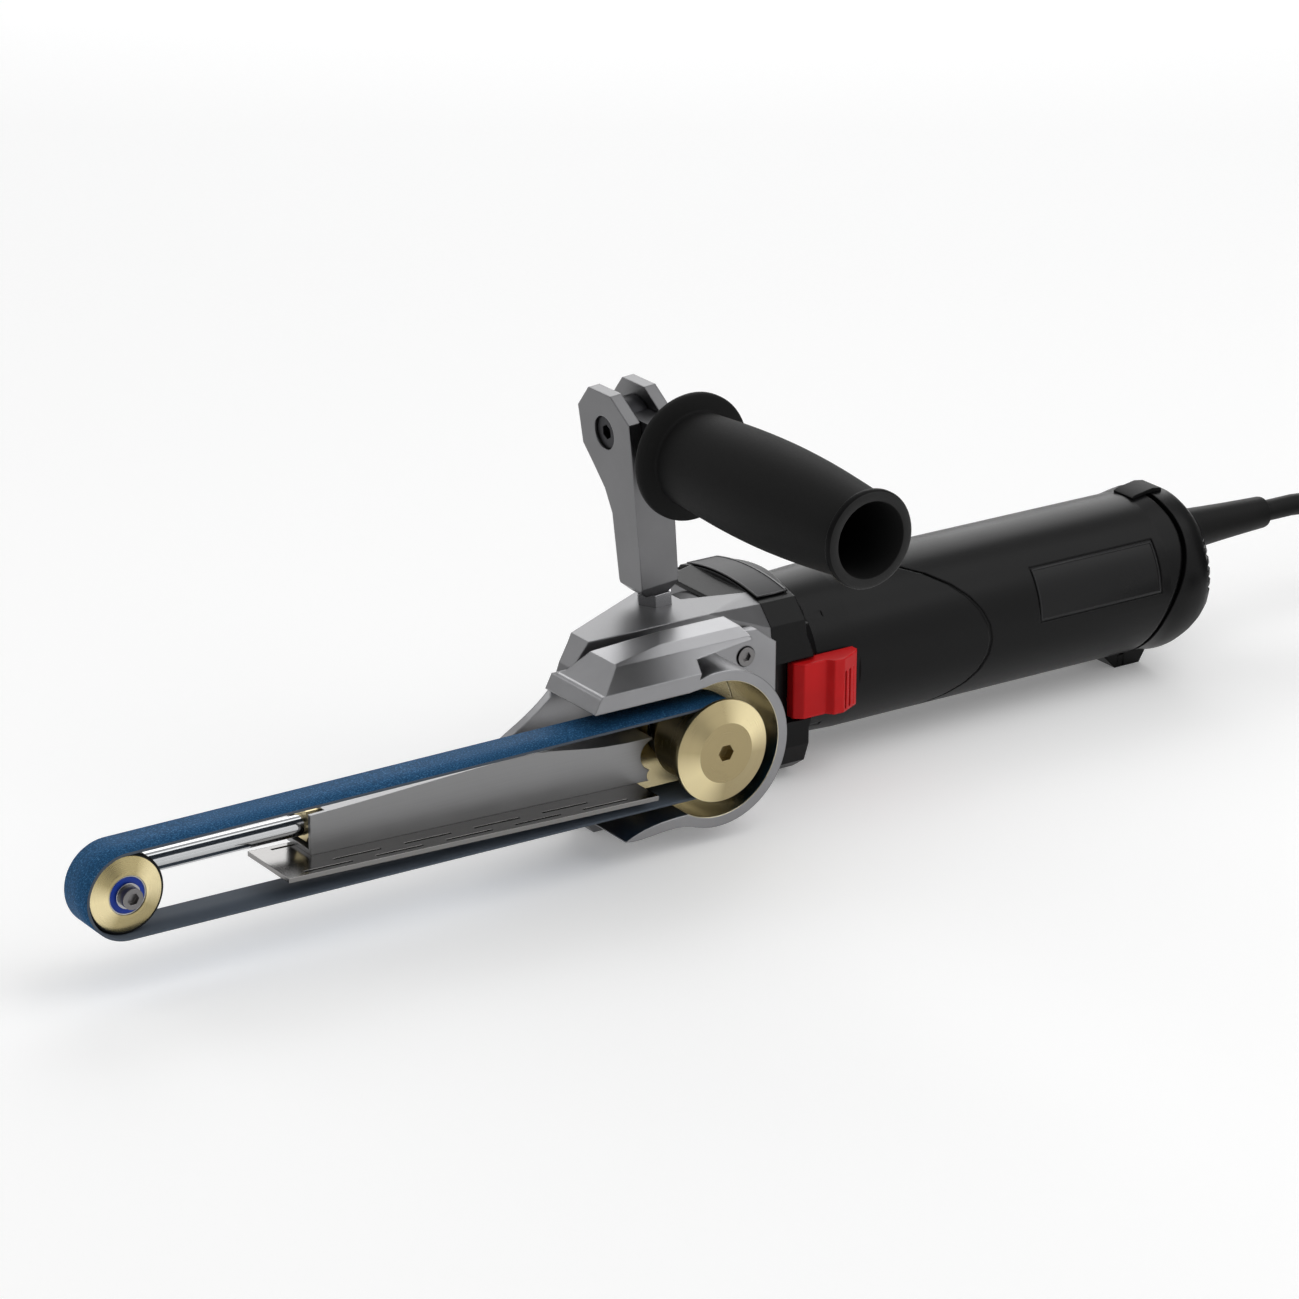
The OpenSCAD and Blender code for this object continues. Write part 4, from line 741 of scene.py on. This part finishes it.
@dataclass
class Studio:
    """Camera, floor and soft light."""

    azimuth: float = -34.23
    elevation: float = 20.78
    roll: float = 0.32
    distance: float = 1.58837
    lens: float = 133.52
    place: Vector = Vector((-0.84473, -1.20842, 0.59189))
    floor_half: float = 6.0
    floor_glow: float = 0.185
    glow_reach: float = 0.92

    def build(self) -> None:
        """Makes the camera, floor, lamps and world."""
        self._camera()
        self._floor()
        self._lamp("back_box", spot(1200, 1700, 1050), spot(0, 40, 20), 1.7, 20.0)
        self._lamp("left_box", spot(-1000, 1850, 1130), spot(0, 40, 20), 1.5, 8.5)
        self._lamp("front_box", spot(1250, -1850, 850), spot(0, 0, 0), 2.0, 11.0)
        self._lamp("side_box", spot(-1700, -700, 500), spot(0, 0, 0), 1.2, 4.0)
        self._lamp("top_box", spot(1000, -600, 1650), spot(0, 0, 0), 1.6, 9.5)
        self._world()

    def _camera(self) -> None:
        """Stands the camera where the photograph was taken from."""
        turn, lift, tilt = (math.radians(a) for a in (self.azimuth, self.elevation, self.roll))
        right = Vector((math.cos(turn), math.sin(turn), 0.0))
        back = Vector((math.sin(turn) * math.cos(lift), -math.cos(turn) * math.cos(lift), math.sin(lift)))
        up = back.cross(right)
        right, up = (math.cos(tilt) * right + math.sin(tilt) * up, math.cos(tilt) * up - math.sin(tilt) * right)
        data = bpy.data.cameras.new("portrait")
        data.lens = self.lens
        data.sensor_width = 36.0
        data.clip_end = 60.0
        camera = bpy.data.objects.new("portrait", data)
        camera.matrix_world = Matrix((right, up, back)).transposed().to_4x4()
        camera.location = DRIVE_AXIS + self.place
        bpy.context.scene.collection.objects.link(camera)
        bpy.context.scene.camera = camera

    def _floor(self) -> None:
        """Lays a pale floor under the tool."""
        Bench.clear()
        bpy.ops.mesh.primitive_plane_add(size=2 * self.floor_half, location=(0, 0, CAD_BOX[0].z))
        floor = bpy.context.object
        floor.name = "studio_floor"
        material = bpy.data.materials.new("floor_paper")
        material.use_nodes = True
        graph = Graph(material.node_tree)
        fibre = graph.noise(graph.coords(), 400.0, 2.0, 0.5)
        away = (-math.sin(math.radians(self.azimuth)), math.cos(math.radians(self.azimuth)), 0.0)
        behind = graph.add("ShaderNodeVectorMath", {"operation": "DOT_PRODUCT"},
                           {0: graph.stretched((1.0, 1.0, 1.0), DRIVE_AXIS), 1: away}, out="Value")
        glow = graph.ramp(behind, (0.0, self.floor_glow), (self.glow_reach, 0.0)) * graph.seen()
        graph.surface(Base_Color=graph.mix(fibre, (0.92, 0.92, 0.92), (0.94, 0.94, 0.94)), Roughness=0.9,
                      Specular_IOR_Level=0.0, Emission_Color=graph.mix(glow, (0.0, 0.0, 0.0), (1.0, 1.0, 1.0)),
                      Emission_Strength=1.0)
        floor.data.materials.append(material)

    @staticmethod
    def _lamp(name: str, place: Vector, aim: Vector, size: float, power: float) -> None:
        """Hangs one soft box.

        Args:
            name: the lamp's name.
            place: where it hangs.
            aim: the point that it faces.
            size: its side.
            power: its power in watts.
        """
        data = bpy.data.lights.new(name, "AREA")
        data.size = size
        data.energy = power
        lamp = bpy.data.objects.new(name, data)
        lamp.location = place
        lamp.rotation_mode = "QUATERNION"
        lamp.rotation_quaternion = (aim - place).to_track_quat("-Z", "Y")
        bpy.context.scene.collection.objects.link(lamp)

    @staticmethod
    def _world() -> None:
        """Gives the room a glow that grows towards its ceiling."""
        world = bpy.data.worlds.new("room")
        bpy.context.scene.world = world
        world.use_nodes = True
        graph = Graph(world.node_tree)
        place = graph.add("ShaderNodeTexCoord", out="Generated")
        height = graph.add("ShaderNodeSeparateXYZ", {}, {0: place}, out="Z")
        rise = graph.ramp(height, (0.0, 0.06), (0.3, 0.14), (0.6, 0.35), (1.0, 0.70))
        glow = graph.add("ShaderNodeBackground", {}, {"Color": rise, "Strength": 1.0})
        graph.add("ShaderNodeOutputWorld", {}, {"Surface": glow})


@dataclass
class Lead:
    """The mains lead with its coil, tie and plug, in millimetres."""

    radius: float = 4.0
    relief_end: float = 287.0
    relief_z: float = 10.0
    coil_x: float = 420.0
    pitch: float = 9.8
    layer: float = 9.4
    turns: int = 3
    layers: int = 4
    steps: int = 24
    middle_r: float = 46.0
    rest_z: float = -27.0
    motor_y: float = 54.0
    lay: Sequence[tuple[float, float]] = (
        (0, 0), (14, 0), (26, 1), (38, 4), (50, 10), (62, 18.5), (74, 27), (86, 33), (98, 36), (110, 37), (125, 37))
    tail: Sequence[tuple[float, float]] = ((20, 0), (30, -2), (40, -5), (50, -8), (60, -11), (70, -13), (80, -14))

    def coil(self) -> list[tuple[float, float, float]]:
        """Points of the put-away turns, which spiral in and out, layer by layer."""
        out_r = self.middle_r + self.pitch * self.turns / 2
        centre_y = self.motor_y - out_r
        lap = self.turns * self.steps
        climb = self.steps // 2
        points = []
        for i in range(self.layers * lap + (self.layers - 1) * climb + 1):
            level, rest = divmod(i, lap + climb)
            share = min(rest, lap) / lap
            radius = out_r - self.pitch * self.turns * (share if level % 2 == 0 else 1 - share)
            height = self.rest_z + self.layer * (level + max(0, rest - lap) / climb)
            angle = 2 * math.pi * i / self.steps - math.pi / 2
            points.append((self.coil_x + radius * math.cos(angle), centre_y - radius * math.sin(angle), height))
        return points

    def route(self) -> list[Vector]:
        """Points of the whole lead, from the strain relief to the plug."""
        coil = self.coil()
        end_y, top_z = coil[-1][1:]
        first = [(self.relief_end + ahead, self.motor_y, self.relief_z - fall) for ahead, fall in self.lay]
        last = [(self.coil_x - back, end_y, height) for back, height in ((2 * self.radius, top_z), *self.tail)]
        low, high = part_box("mains_plug")
        plug_end = Vector((high.x, (low.y + high.y) / 2, (low.z + high.z) / 2))
        return [spot(*point) for point in (*first, *coil, *last)] + [plug_end]

    def build(self) -> None:
        """Lays the lead as one curve and sets it riding."""
        points = self.route()
        curve = bpy.data.curves.new("mains_lead", "CURVE")
        curve.dimensions = "3D"
        curve.bevel_depth = self.radius * MM
        curve.bevel_resolution = 5
        curve.use_fill_caps = True
        line = curve.splines.new("POLY")
        line.points.add(len(points) - 1)
        for point, place in zip(line.points, points):
            point.co = (*place, 1.0)
        lead = bpy.data.objects.new("mains_lead", curve)
        bpy.context.scene.collection.objects.link(lead)
        curve.materials.append(RUBBER.material())
        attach(lead, "tool_body")
        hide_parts("mains_cord", "cord_coil", "cord_tail")
        length = sum((b - a).length for a, b in zip(points, points[1:]))
        LOG.info("piece mains_lead, %.2f m long", length)


@dataclass
class Solids:
    """Solids whose shape is right as it is."""

    finishes: ClassVar[dict[str, Finish]] = {
        "gear_housing": HEAD_METAL, "handle_bracket": BRACKET_METAL, "handle_pivot_bolt": DARK_STEEL,
        "tip_wheel_hub": TIP_BRASS, "tip_wheel_tyre": TYRE, "switch_module": BODY_BLACK, "belt_guard": GUARD_METAL,
        "guard_screws": SCREW_STEEL, "tip_axle_screw": SCREW_STEEL, "handle_eye": DARK_STEEL}

    def build(self) -> None:
        """Paints each solid with the finish of its slot, or with its own."""
        for part in frame["record"]["subparts"]:
            node = part["node"]
            finish = self.finishes.get(node, SLOT_FINISH[part["material_slot"]])
            solid = frame["nodes"][node]
            solid.data.materials.clear()
            solid.data.materials.append(finish.material())
            LOG.info("solid %s in %s", node, finish.name)


@dataclass
class BeltEnd:
    """Belt, tip bearings and tension spring, in millimetres from the drive axis."""

    width: float = 15.0
    thick: float = 0.9
    drum_loop_r: float = 15.0
    tip_loop_r: float = 13.6
    bend_steps: int = 48
    bearing_face: float = 6.2
    bearing_width: float = 4.6
    sunk: float = 0.25
    axle_r: float = 3.0
    inner_ring_r: float = 3.3
    outer_ring_r: float = 6.0
    bearing_r: float = 6.5
    slide: float = 10.0

    def build(self) -> None:
        """Makes the belt, the bearings and the spring."""
        self._belt()
        self._bearings()
        self._spring()

    def _bend(self, centre_x: float, radius: float, first: float, last: float) -> list[Vector]:
        """Points of the belt's outer face round one wheel."""
        turns = [first + (last - first) * i / self.bend_steps for i in range(self.bend_steps + 1)]
        return [spot(centre_x + radius * math.cos(a), -self.width / 2, radius * math.sin(a)) for a in turns]

    def _belt(self) -> None:
        """Makes the loop as a sheet, grains outside and cloth inside."""
        gap = (TIP_AXIS - DRIVE_AXIS).length / MM
        lean = math.asin((self.drum_loop_r - self.tip_loop_r) / gap)
        quarter = math.pi / 2
        loop = self._bend(0.0, self.drum_loop_r + self.thick, -quarter - lean, quarter + lean)
        loop += self._bend(-gap, self.tip_loop_r + self.thick, quarter + lean, 3 * quarter - lean)
        belt = Bench.chain("belt_loop", [*loop, loop[0]])
        bpy.ops.mesh.remove_doubles(threshold=0.002 * MM)
        bpy.ops.mesh.extrude_region_move(TRANSFORM_OT_translate={"value": (0.0, self.width * MM, 0.0)})
        Bench.close(belt)
        Bench.dress(belt, GRIT, "tool_body", "abrasive_belt")
        belt.data.materials.append(BACKING.material())
        Bench.apply(belt, "SOLIDIFY", thickness=self.thick * MM, offset=-1.0, material_offset=1, material_offset_rim=1)

    def _bearings(self) -> None:
        """Turns one sealed bearing, then stands a copy on the far side."""
        face, back = -self.bearing_face, -self.bearing_face + self.bearing_width
        front = [(self.axle_r, face), (self.inner_ring_r, face), (self.inner_ring_r, face + self.sunk),
                 (self.outer_ring_r, face + self.sunk), (self.outer_ring_r, face), (self.bearing_r, face)]
        rear = [(radius, face + back - place) for radius, place in reversed(front)]
        pair = Bench.lathe("tip_bearing_pair", [*front, *rear, front[0]], Way.ALONG_Y, TIP_AXIS, 64)
        Bench.dress(pair, STEEL, "tip_wheel", "tip_bearings")
        Bench.paint_faces(pair, SEAL, self._on_seal)
        bpy.ops.object.mode_set(mode="EDIT")
        bpy.ops.mesh.select_all(action="SELECT")
        bpy.ops.mesh.duplicate_move(TRANSFORM_OT_translate={"value": (0.0, -(face + back) * MM, 0.0)})
        bpy.ops.object.mode_set(mode="OBJECT")

    def _spring(self) -> None:
        """Copies the tension spring as a piece of its own, which rides on the tool's body."""
        spring = bpy.data.objects.new("pressed_spring", frame["nodes"]["tension_spring"].data.copy())
        bpy.context.scene.collection.objects.link(spring)
        Bench.hold(spring)
        bpy.ops.object.mode_set(mode="EDIT")
        Bench.close(spring, 70.0)
        Bench.dress(spring, STEEL, "tool_body", "tension_spring")
        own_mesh(spring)

    def _on_seal(self, middle: Vector, normal: Vector) -> bool:
        """True for the sunk ring between the two races."""
        radius = math.hypot(middle.x - TIP_AXIS.x, middle.z - TIP_AXIS.z) / MM
        return self.inner_ring_r < radius < self.outer_ring_r and abs(normal.y) > 0.9


@dataclass
class Housing:
    """Plaque, label plate, grip and strain relief of the motor's end, in millimetres from the drive axis."""

    motor_y: float = 54.0
    body_r: float = 29.0
    body_end: float = 242.0
    cap_outside: Sequence[tuple[float, float]] = (
        (0, -48), (29, -48), (29, -22), (29.5, -19), (30, -16.2), (30.2, -13), (30.1, -9.5), (29.6, -6.5), (28.4, -3.8),
        (26.4, -1.6), (24, -0.4), (22, 0), (0, 0))
    cap_inside: Sequence[tuple[float, float]] = ((0, -50), (26, -50), (26, -10), (19.5, -3.4), (0, -3.4))
    cap_foot: Sequence[tuple[float, float]] = ((-36, -27), (-30, -33), (-12, -33), (-7, -27))
    foot_web: Sequence[tuple[float, float]] = ((-29, -33), (-26, -33), (-26, -28.4), (-29, -28.4))
    seam: Sequence[tuple[float, float]] = ((-18, 39), (-2, 14), (-26, 4), (-27, -39))
    clip: Sequence[tuple[float, float]] = (
        (-22, 26), (-22, 29.5), (-20.5, 30.2), (-12.5, 31.5), (-8.6, 30.9), (-8, 26))
    clip_half: float = 5.2
    relief_z: float = 10.0
    notches: int = 5
    notch_start: float = -2.8
    notch_pitch: float = 3.9
    crown_r: float = 90.05
    crown_z: float = 33.5
    plaque_half: float = 20.8
    plaque_start: float = 43.7
    plaque_end: float = 56.4
    rim: float = 0.7
    panel_low: float = 1.5
    panel_high: float = 19.0
    panel_start: float = 161.0
    panel_end: float = 215.5

    def build(self) -> None:
        """Makes each piece."""
        self._plaque()
        self._label()
        self._grip()
        self._relief()
        self._cap()
        self._clip()

    def _framed(self, sheet: bpy.types.Object, thick: float, lift: float) -> None:
        """Gives a sheet a raised rim and its thickness.

        Args:
            sheet: the sheet, in edit mode.
            thick: the sheet's thickness.
            lift: how far the field sinks inside its rim.
        """
        bpy.ops.mesh.select_all(action="SELECT")
        bpy.ops.mesh.normals_make_consistent(inside=False)
        bpy.ops.mesh.inset(thickness=self.rim * MM, depth=0.0)
        bpy.ops.mesh.inset(thickness=0.15 * MM, depth=-lift * MM)
        Bench.close(sheet)
        Bench.apply(sheet, "SOLIDIFY", thickness=thick * MM, offset=-1.0)

    def _plaque(self) -> None:
        """Makes the bare plaque on top of the collar."""
        centre = spot(0.0, self.motor_y, self.crown_z - self.crown_r)
        half = math.asin(self.plaque_half / self.crown_r)
        radius = self.crown_r + 0.8
        y, z = self.motor_y + radius * math.sin(half), self.crown_z - self.crown_r + radius * math.cos(half)
        plaque = Bench.patch("bare_plaque", (spot(self.plaque_start, y, z), spot(self.plaque_end, y, z)), centre,
                             2 * half)
        self._framed(plaque, 0.5, 0.2)
        Bench.dress(plaque, PLAQUE_RIM, "tool_body", "top_plaque")
        Bench.paint_faces(plaque, PLAQUE_METAL, lambda middle, normal: self._in_field(middle))

    def _in_field(self, middle: Vector) -> bool:
        """True inside the plaque's rim."""
        place = (middle - DRIVE_AXIS) / MM
        inside_x = self.plaque_start + self.rim < place.x < self.plaque_end - self.rim
        return inside_x and abs(place.y - self.motor_y) < self.plaque_half - self.rim

    def _label(self) -> None:
        """Makes the bare label plate in its recess."""
        centre = spot(0.0, self.motor_y, 0.0)
        radius = self.body_r - 0.1
        low, high = math.asin(self.panel_low / radius), math.asin(self.panel_high / radius)
        y, z = self.motor_y - radius * math.cos(low), radius * math.sin(low)
        label = Bench.patch("bare_label", (spot(self.panel_start, y, z), spot(self.panel_end, y, z)), centre,
                            low - high)
        self._framed(label, 0.3, 0.25)
        Bench.dress(label, PANEL_BLACK, "tool_body")
        Bench.paint_faces(label, PANEL_RIM, lambda middle, normal: not self._on_label(middle))

    def _on_label(self, middle: Vector) -> bool:
        """True inside the label's rim."""
        place = (middle - DRIVE_AXIS) / MM
        inside_x = self.panel_start + self.rim < place.x < self.panel_end - self.rim
        return inside_x and self.panel_low + 0.8 * self.rim < place.z < self.panel_high - 0.8 * self.rim

    def _grip(self) -> None:
        """Turns the grip with its flange, belly, neck and hollow end."""
        low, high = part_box("handle_grip")
        length = (high.y - low.y) / MM
        centre = Vector((HANDLE_PIVOT.x, high.y, HANDLE_PIVOT.z))
        belly = [(15.8 + 2.1 * math.sin(math.pi * t) - 1.5 * t * t, 5.0 + t * (length - 9.6)) for t in
                 [i / 28 for i in range(29)]]
        profile = [(5.5, 0.0), (20.4, 0.0), (21.2, 0.4), (21.6, 1.2), (21.6, 2.6), (21.2, 3.4), (20.4, 3.9),
                   (17.0, 4.1), (16.2, 4.4), *belly, (13.7, length - 4.2), (13.9, length - 3.5), (15.6, length - 3.1),
                   (16.2, length - 2.4), (16.2, length - 1.2), (15.7, length - 0.4), (14.9, length), (13.2, length),
                   (12.6, length - 0.3), (12.4, length - 1.0), (12.4, length - 46.0), (5.5, length - 46.0), (5.5, 0.0)]
        grip = Bench.lathe("turned_grip", [(radius, -distance) for radius, distance in profile], Way.ALONG_Y, centre)
        Bench.dress(grip, GRIP_BLACK, "handle", "handle_grip")
        # The bead's outside is painted near-black as painted shade, and the end face is painted in a lighter copy of
        # the grip plastic as painted light.
        Bench.paint_faces(grip, CLIP_BLACK, lambda middle, normal: self._on_shaded_band(middle - centre, length))
        Bench.paint_faces(grip, LIT_GRIP_RIM, lambda middle, normal: middle.y < low.y + 1.5 * MM and normal.y < -0.8)

    @staticmethod
    def _on_shaded_band(place: Vector, length: float) -> bool:
        """True on the outside of the bead at the grip's end, painted near-black as painted shade, for a place counted
        from the flange.
        """
        return place.y < (4.2 - length) * MM and math.hypot(place.x, place.z) > 13.0 * MM

    def _relief(self) -> None:
        """Turns the tapered strain relief."""
        low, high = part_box("strain_relief")
        centre = Vector((low.x, (low.y + high.y) / 2, (low.z + high.z) / 2))
        length = (high.x - low.x) / MM
        profile = [(4.0, 0.0), (8.5, 0.0), (8.5, 2.6), (5.5, 2.6), (5.5, 6.0), (7.5, 6.0), (7.9, 6.4), (7.9, 10.0),
                   (7.6, 16.0), (7.1, 24.0), (6.6, 33.0), (6.2, 42.0), (5.9, length - 1.2), (5.7, length - 0.4),
                   (5.2, length), (4.0, length), (4.0, 0.0)]
        relief = Bench.lathe("tapered_relief", profile, Way.ALONG_X, centre, 64)
        Bench.dress(relief, RUBBER, "tool_body", "strain_relief")

    def _cap(self) -> None:
        """Makes the rear cap: a turned shell with a foot, parted along the seam, with a notched rim."""
        centre = spot(self.body_end, self.motor_y, 0.0)
        cap = Bench.lathe("moulded_cap", self.cap_outside, Way.ALONG_X, centre, 128)
        Bench.carve(cap, self._behind("foot", self.cap_foot, -9, 18), "UNION")
        self._slope(cap, 0.0)
        hollow = Bench.lathe("hollow", self.cap_inside, Way.ALONG_X, centre, 128)
        self._slope(hollow, 3.8)
        Bench.carve(cap, hollow, "DIFFERENCE")
        Bench.carve(cap, self._behind("seam", [*self._seam_line(), (60, -39), (60, 39)], -50, 100), "INTERSECT")
        Bench.carve(cap, self._behind("web", self.foot_web, -9, 18), "UNION")
        middle = spot(self.body_end, self.motor_y, self.relief_z)
        Bench.carve(cap, Bench.lathe("lead_hole", [(0, -12), (5.5, -12), (5.5, 1), (0, 1)], Way.ALONG_X, middle, 48),
                    "DIFFERENCE")
        for i in range(self.notches):
            low = self.notch_start + i * self.notch_pitch
            outline = [(-4.5, low), (1, low), (1, low + 2), (-4.5, low + 2)]
            for near in (-33, 22):
                Bench.carve(cap, self._behind("notch", outline, near, 11), "DIFFERENCE")
        Bench.smooth(cap, 36.0)
        Bench.dress(cap, BODY_BLACK, "tool_body", "rear_cap")

    def _clip(self) -> None:
        """Makes the low clip on top, which lies on the round of the rear end."""
        clip = self._behind("moulded_clip", self.clip, -self.clip_half, 2 * self.clip_half)
        centre = spot(self.body_end, self.motor_y, 0.0)
        Bench.carve(clip, Bench.lathe("bed", self.cap_outside, Way.ALONG_X, centre, 128), "DIFFERENCE")
        Bench.smooth(clip)
        Bench.dress(clip, CLIP_BLACK, "tool_body", "cap_clip")

    def _behind(self, name: str, outline: Sequence[tuple[float, float]], near: float, depth: float) -> bpy.types.Object:
        """A prism of the rear end.

        Args:
            name: its name.
            outline: its corners, as distance from the rear end and height.
            near: its near side, counted from the motor's axis.
            depth: its length along Y.
        Returns:
            The prism.
        """
        return Bench.prism(name, [spot(self.body_end + x, self.motor_y + near, z) for x, z in outline], depth)

    def _slope(self, piece: bpy.types.Object, inset: float) -> None:
        """Cuts the rear end off aslant below the lead, further forward by the inset."""
        Bench.hold(piece)
        bpy.ops.object.mode_set(mode="EDIT")
        bpy.ops.mesh.select_all(action="SELECT")
        bpy.ops.mesh.bisect(plane_co=spot(self.body_end + 0.6 - inset, self.motor_y, 0.0), plane_no=(0.862, 0.0, -0.507),
                            use_fill=True, clear_outer=True)
        Bench.close(piece)

    def _seam_line(self) -> list[tuple[float, float]]:
        """Points of the seam, a bent line from top to bottom."""
        first, second, third, last = (Vector(corner) for corner in self.seam)
        shares = [i / 14 for i in range(15)]
        return [tuple((1 - t) ** 3 * first + 3 * (1 - t) ** 2 * t * second + 3 * (1 - t) * t * t * third + t ** 3 * last)
                for t in shares]


def main() -> None:
    """Builds the studio and every sub-assembly in order."""
    logging.basicConfig(level=logging.INFO, format="%(name)s %(message)s")
    bpy.context.scene.view_settings.view_transform = "Standard"
    Studio().build()
    Lead().build()
    Solids().build()
    BeltEnd().build()
    Housing().build()


if __name__ == "__main__":
    main()
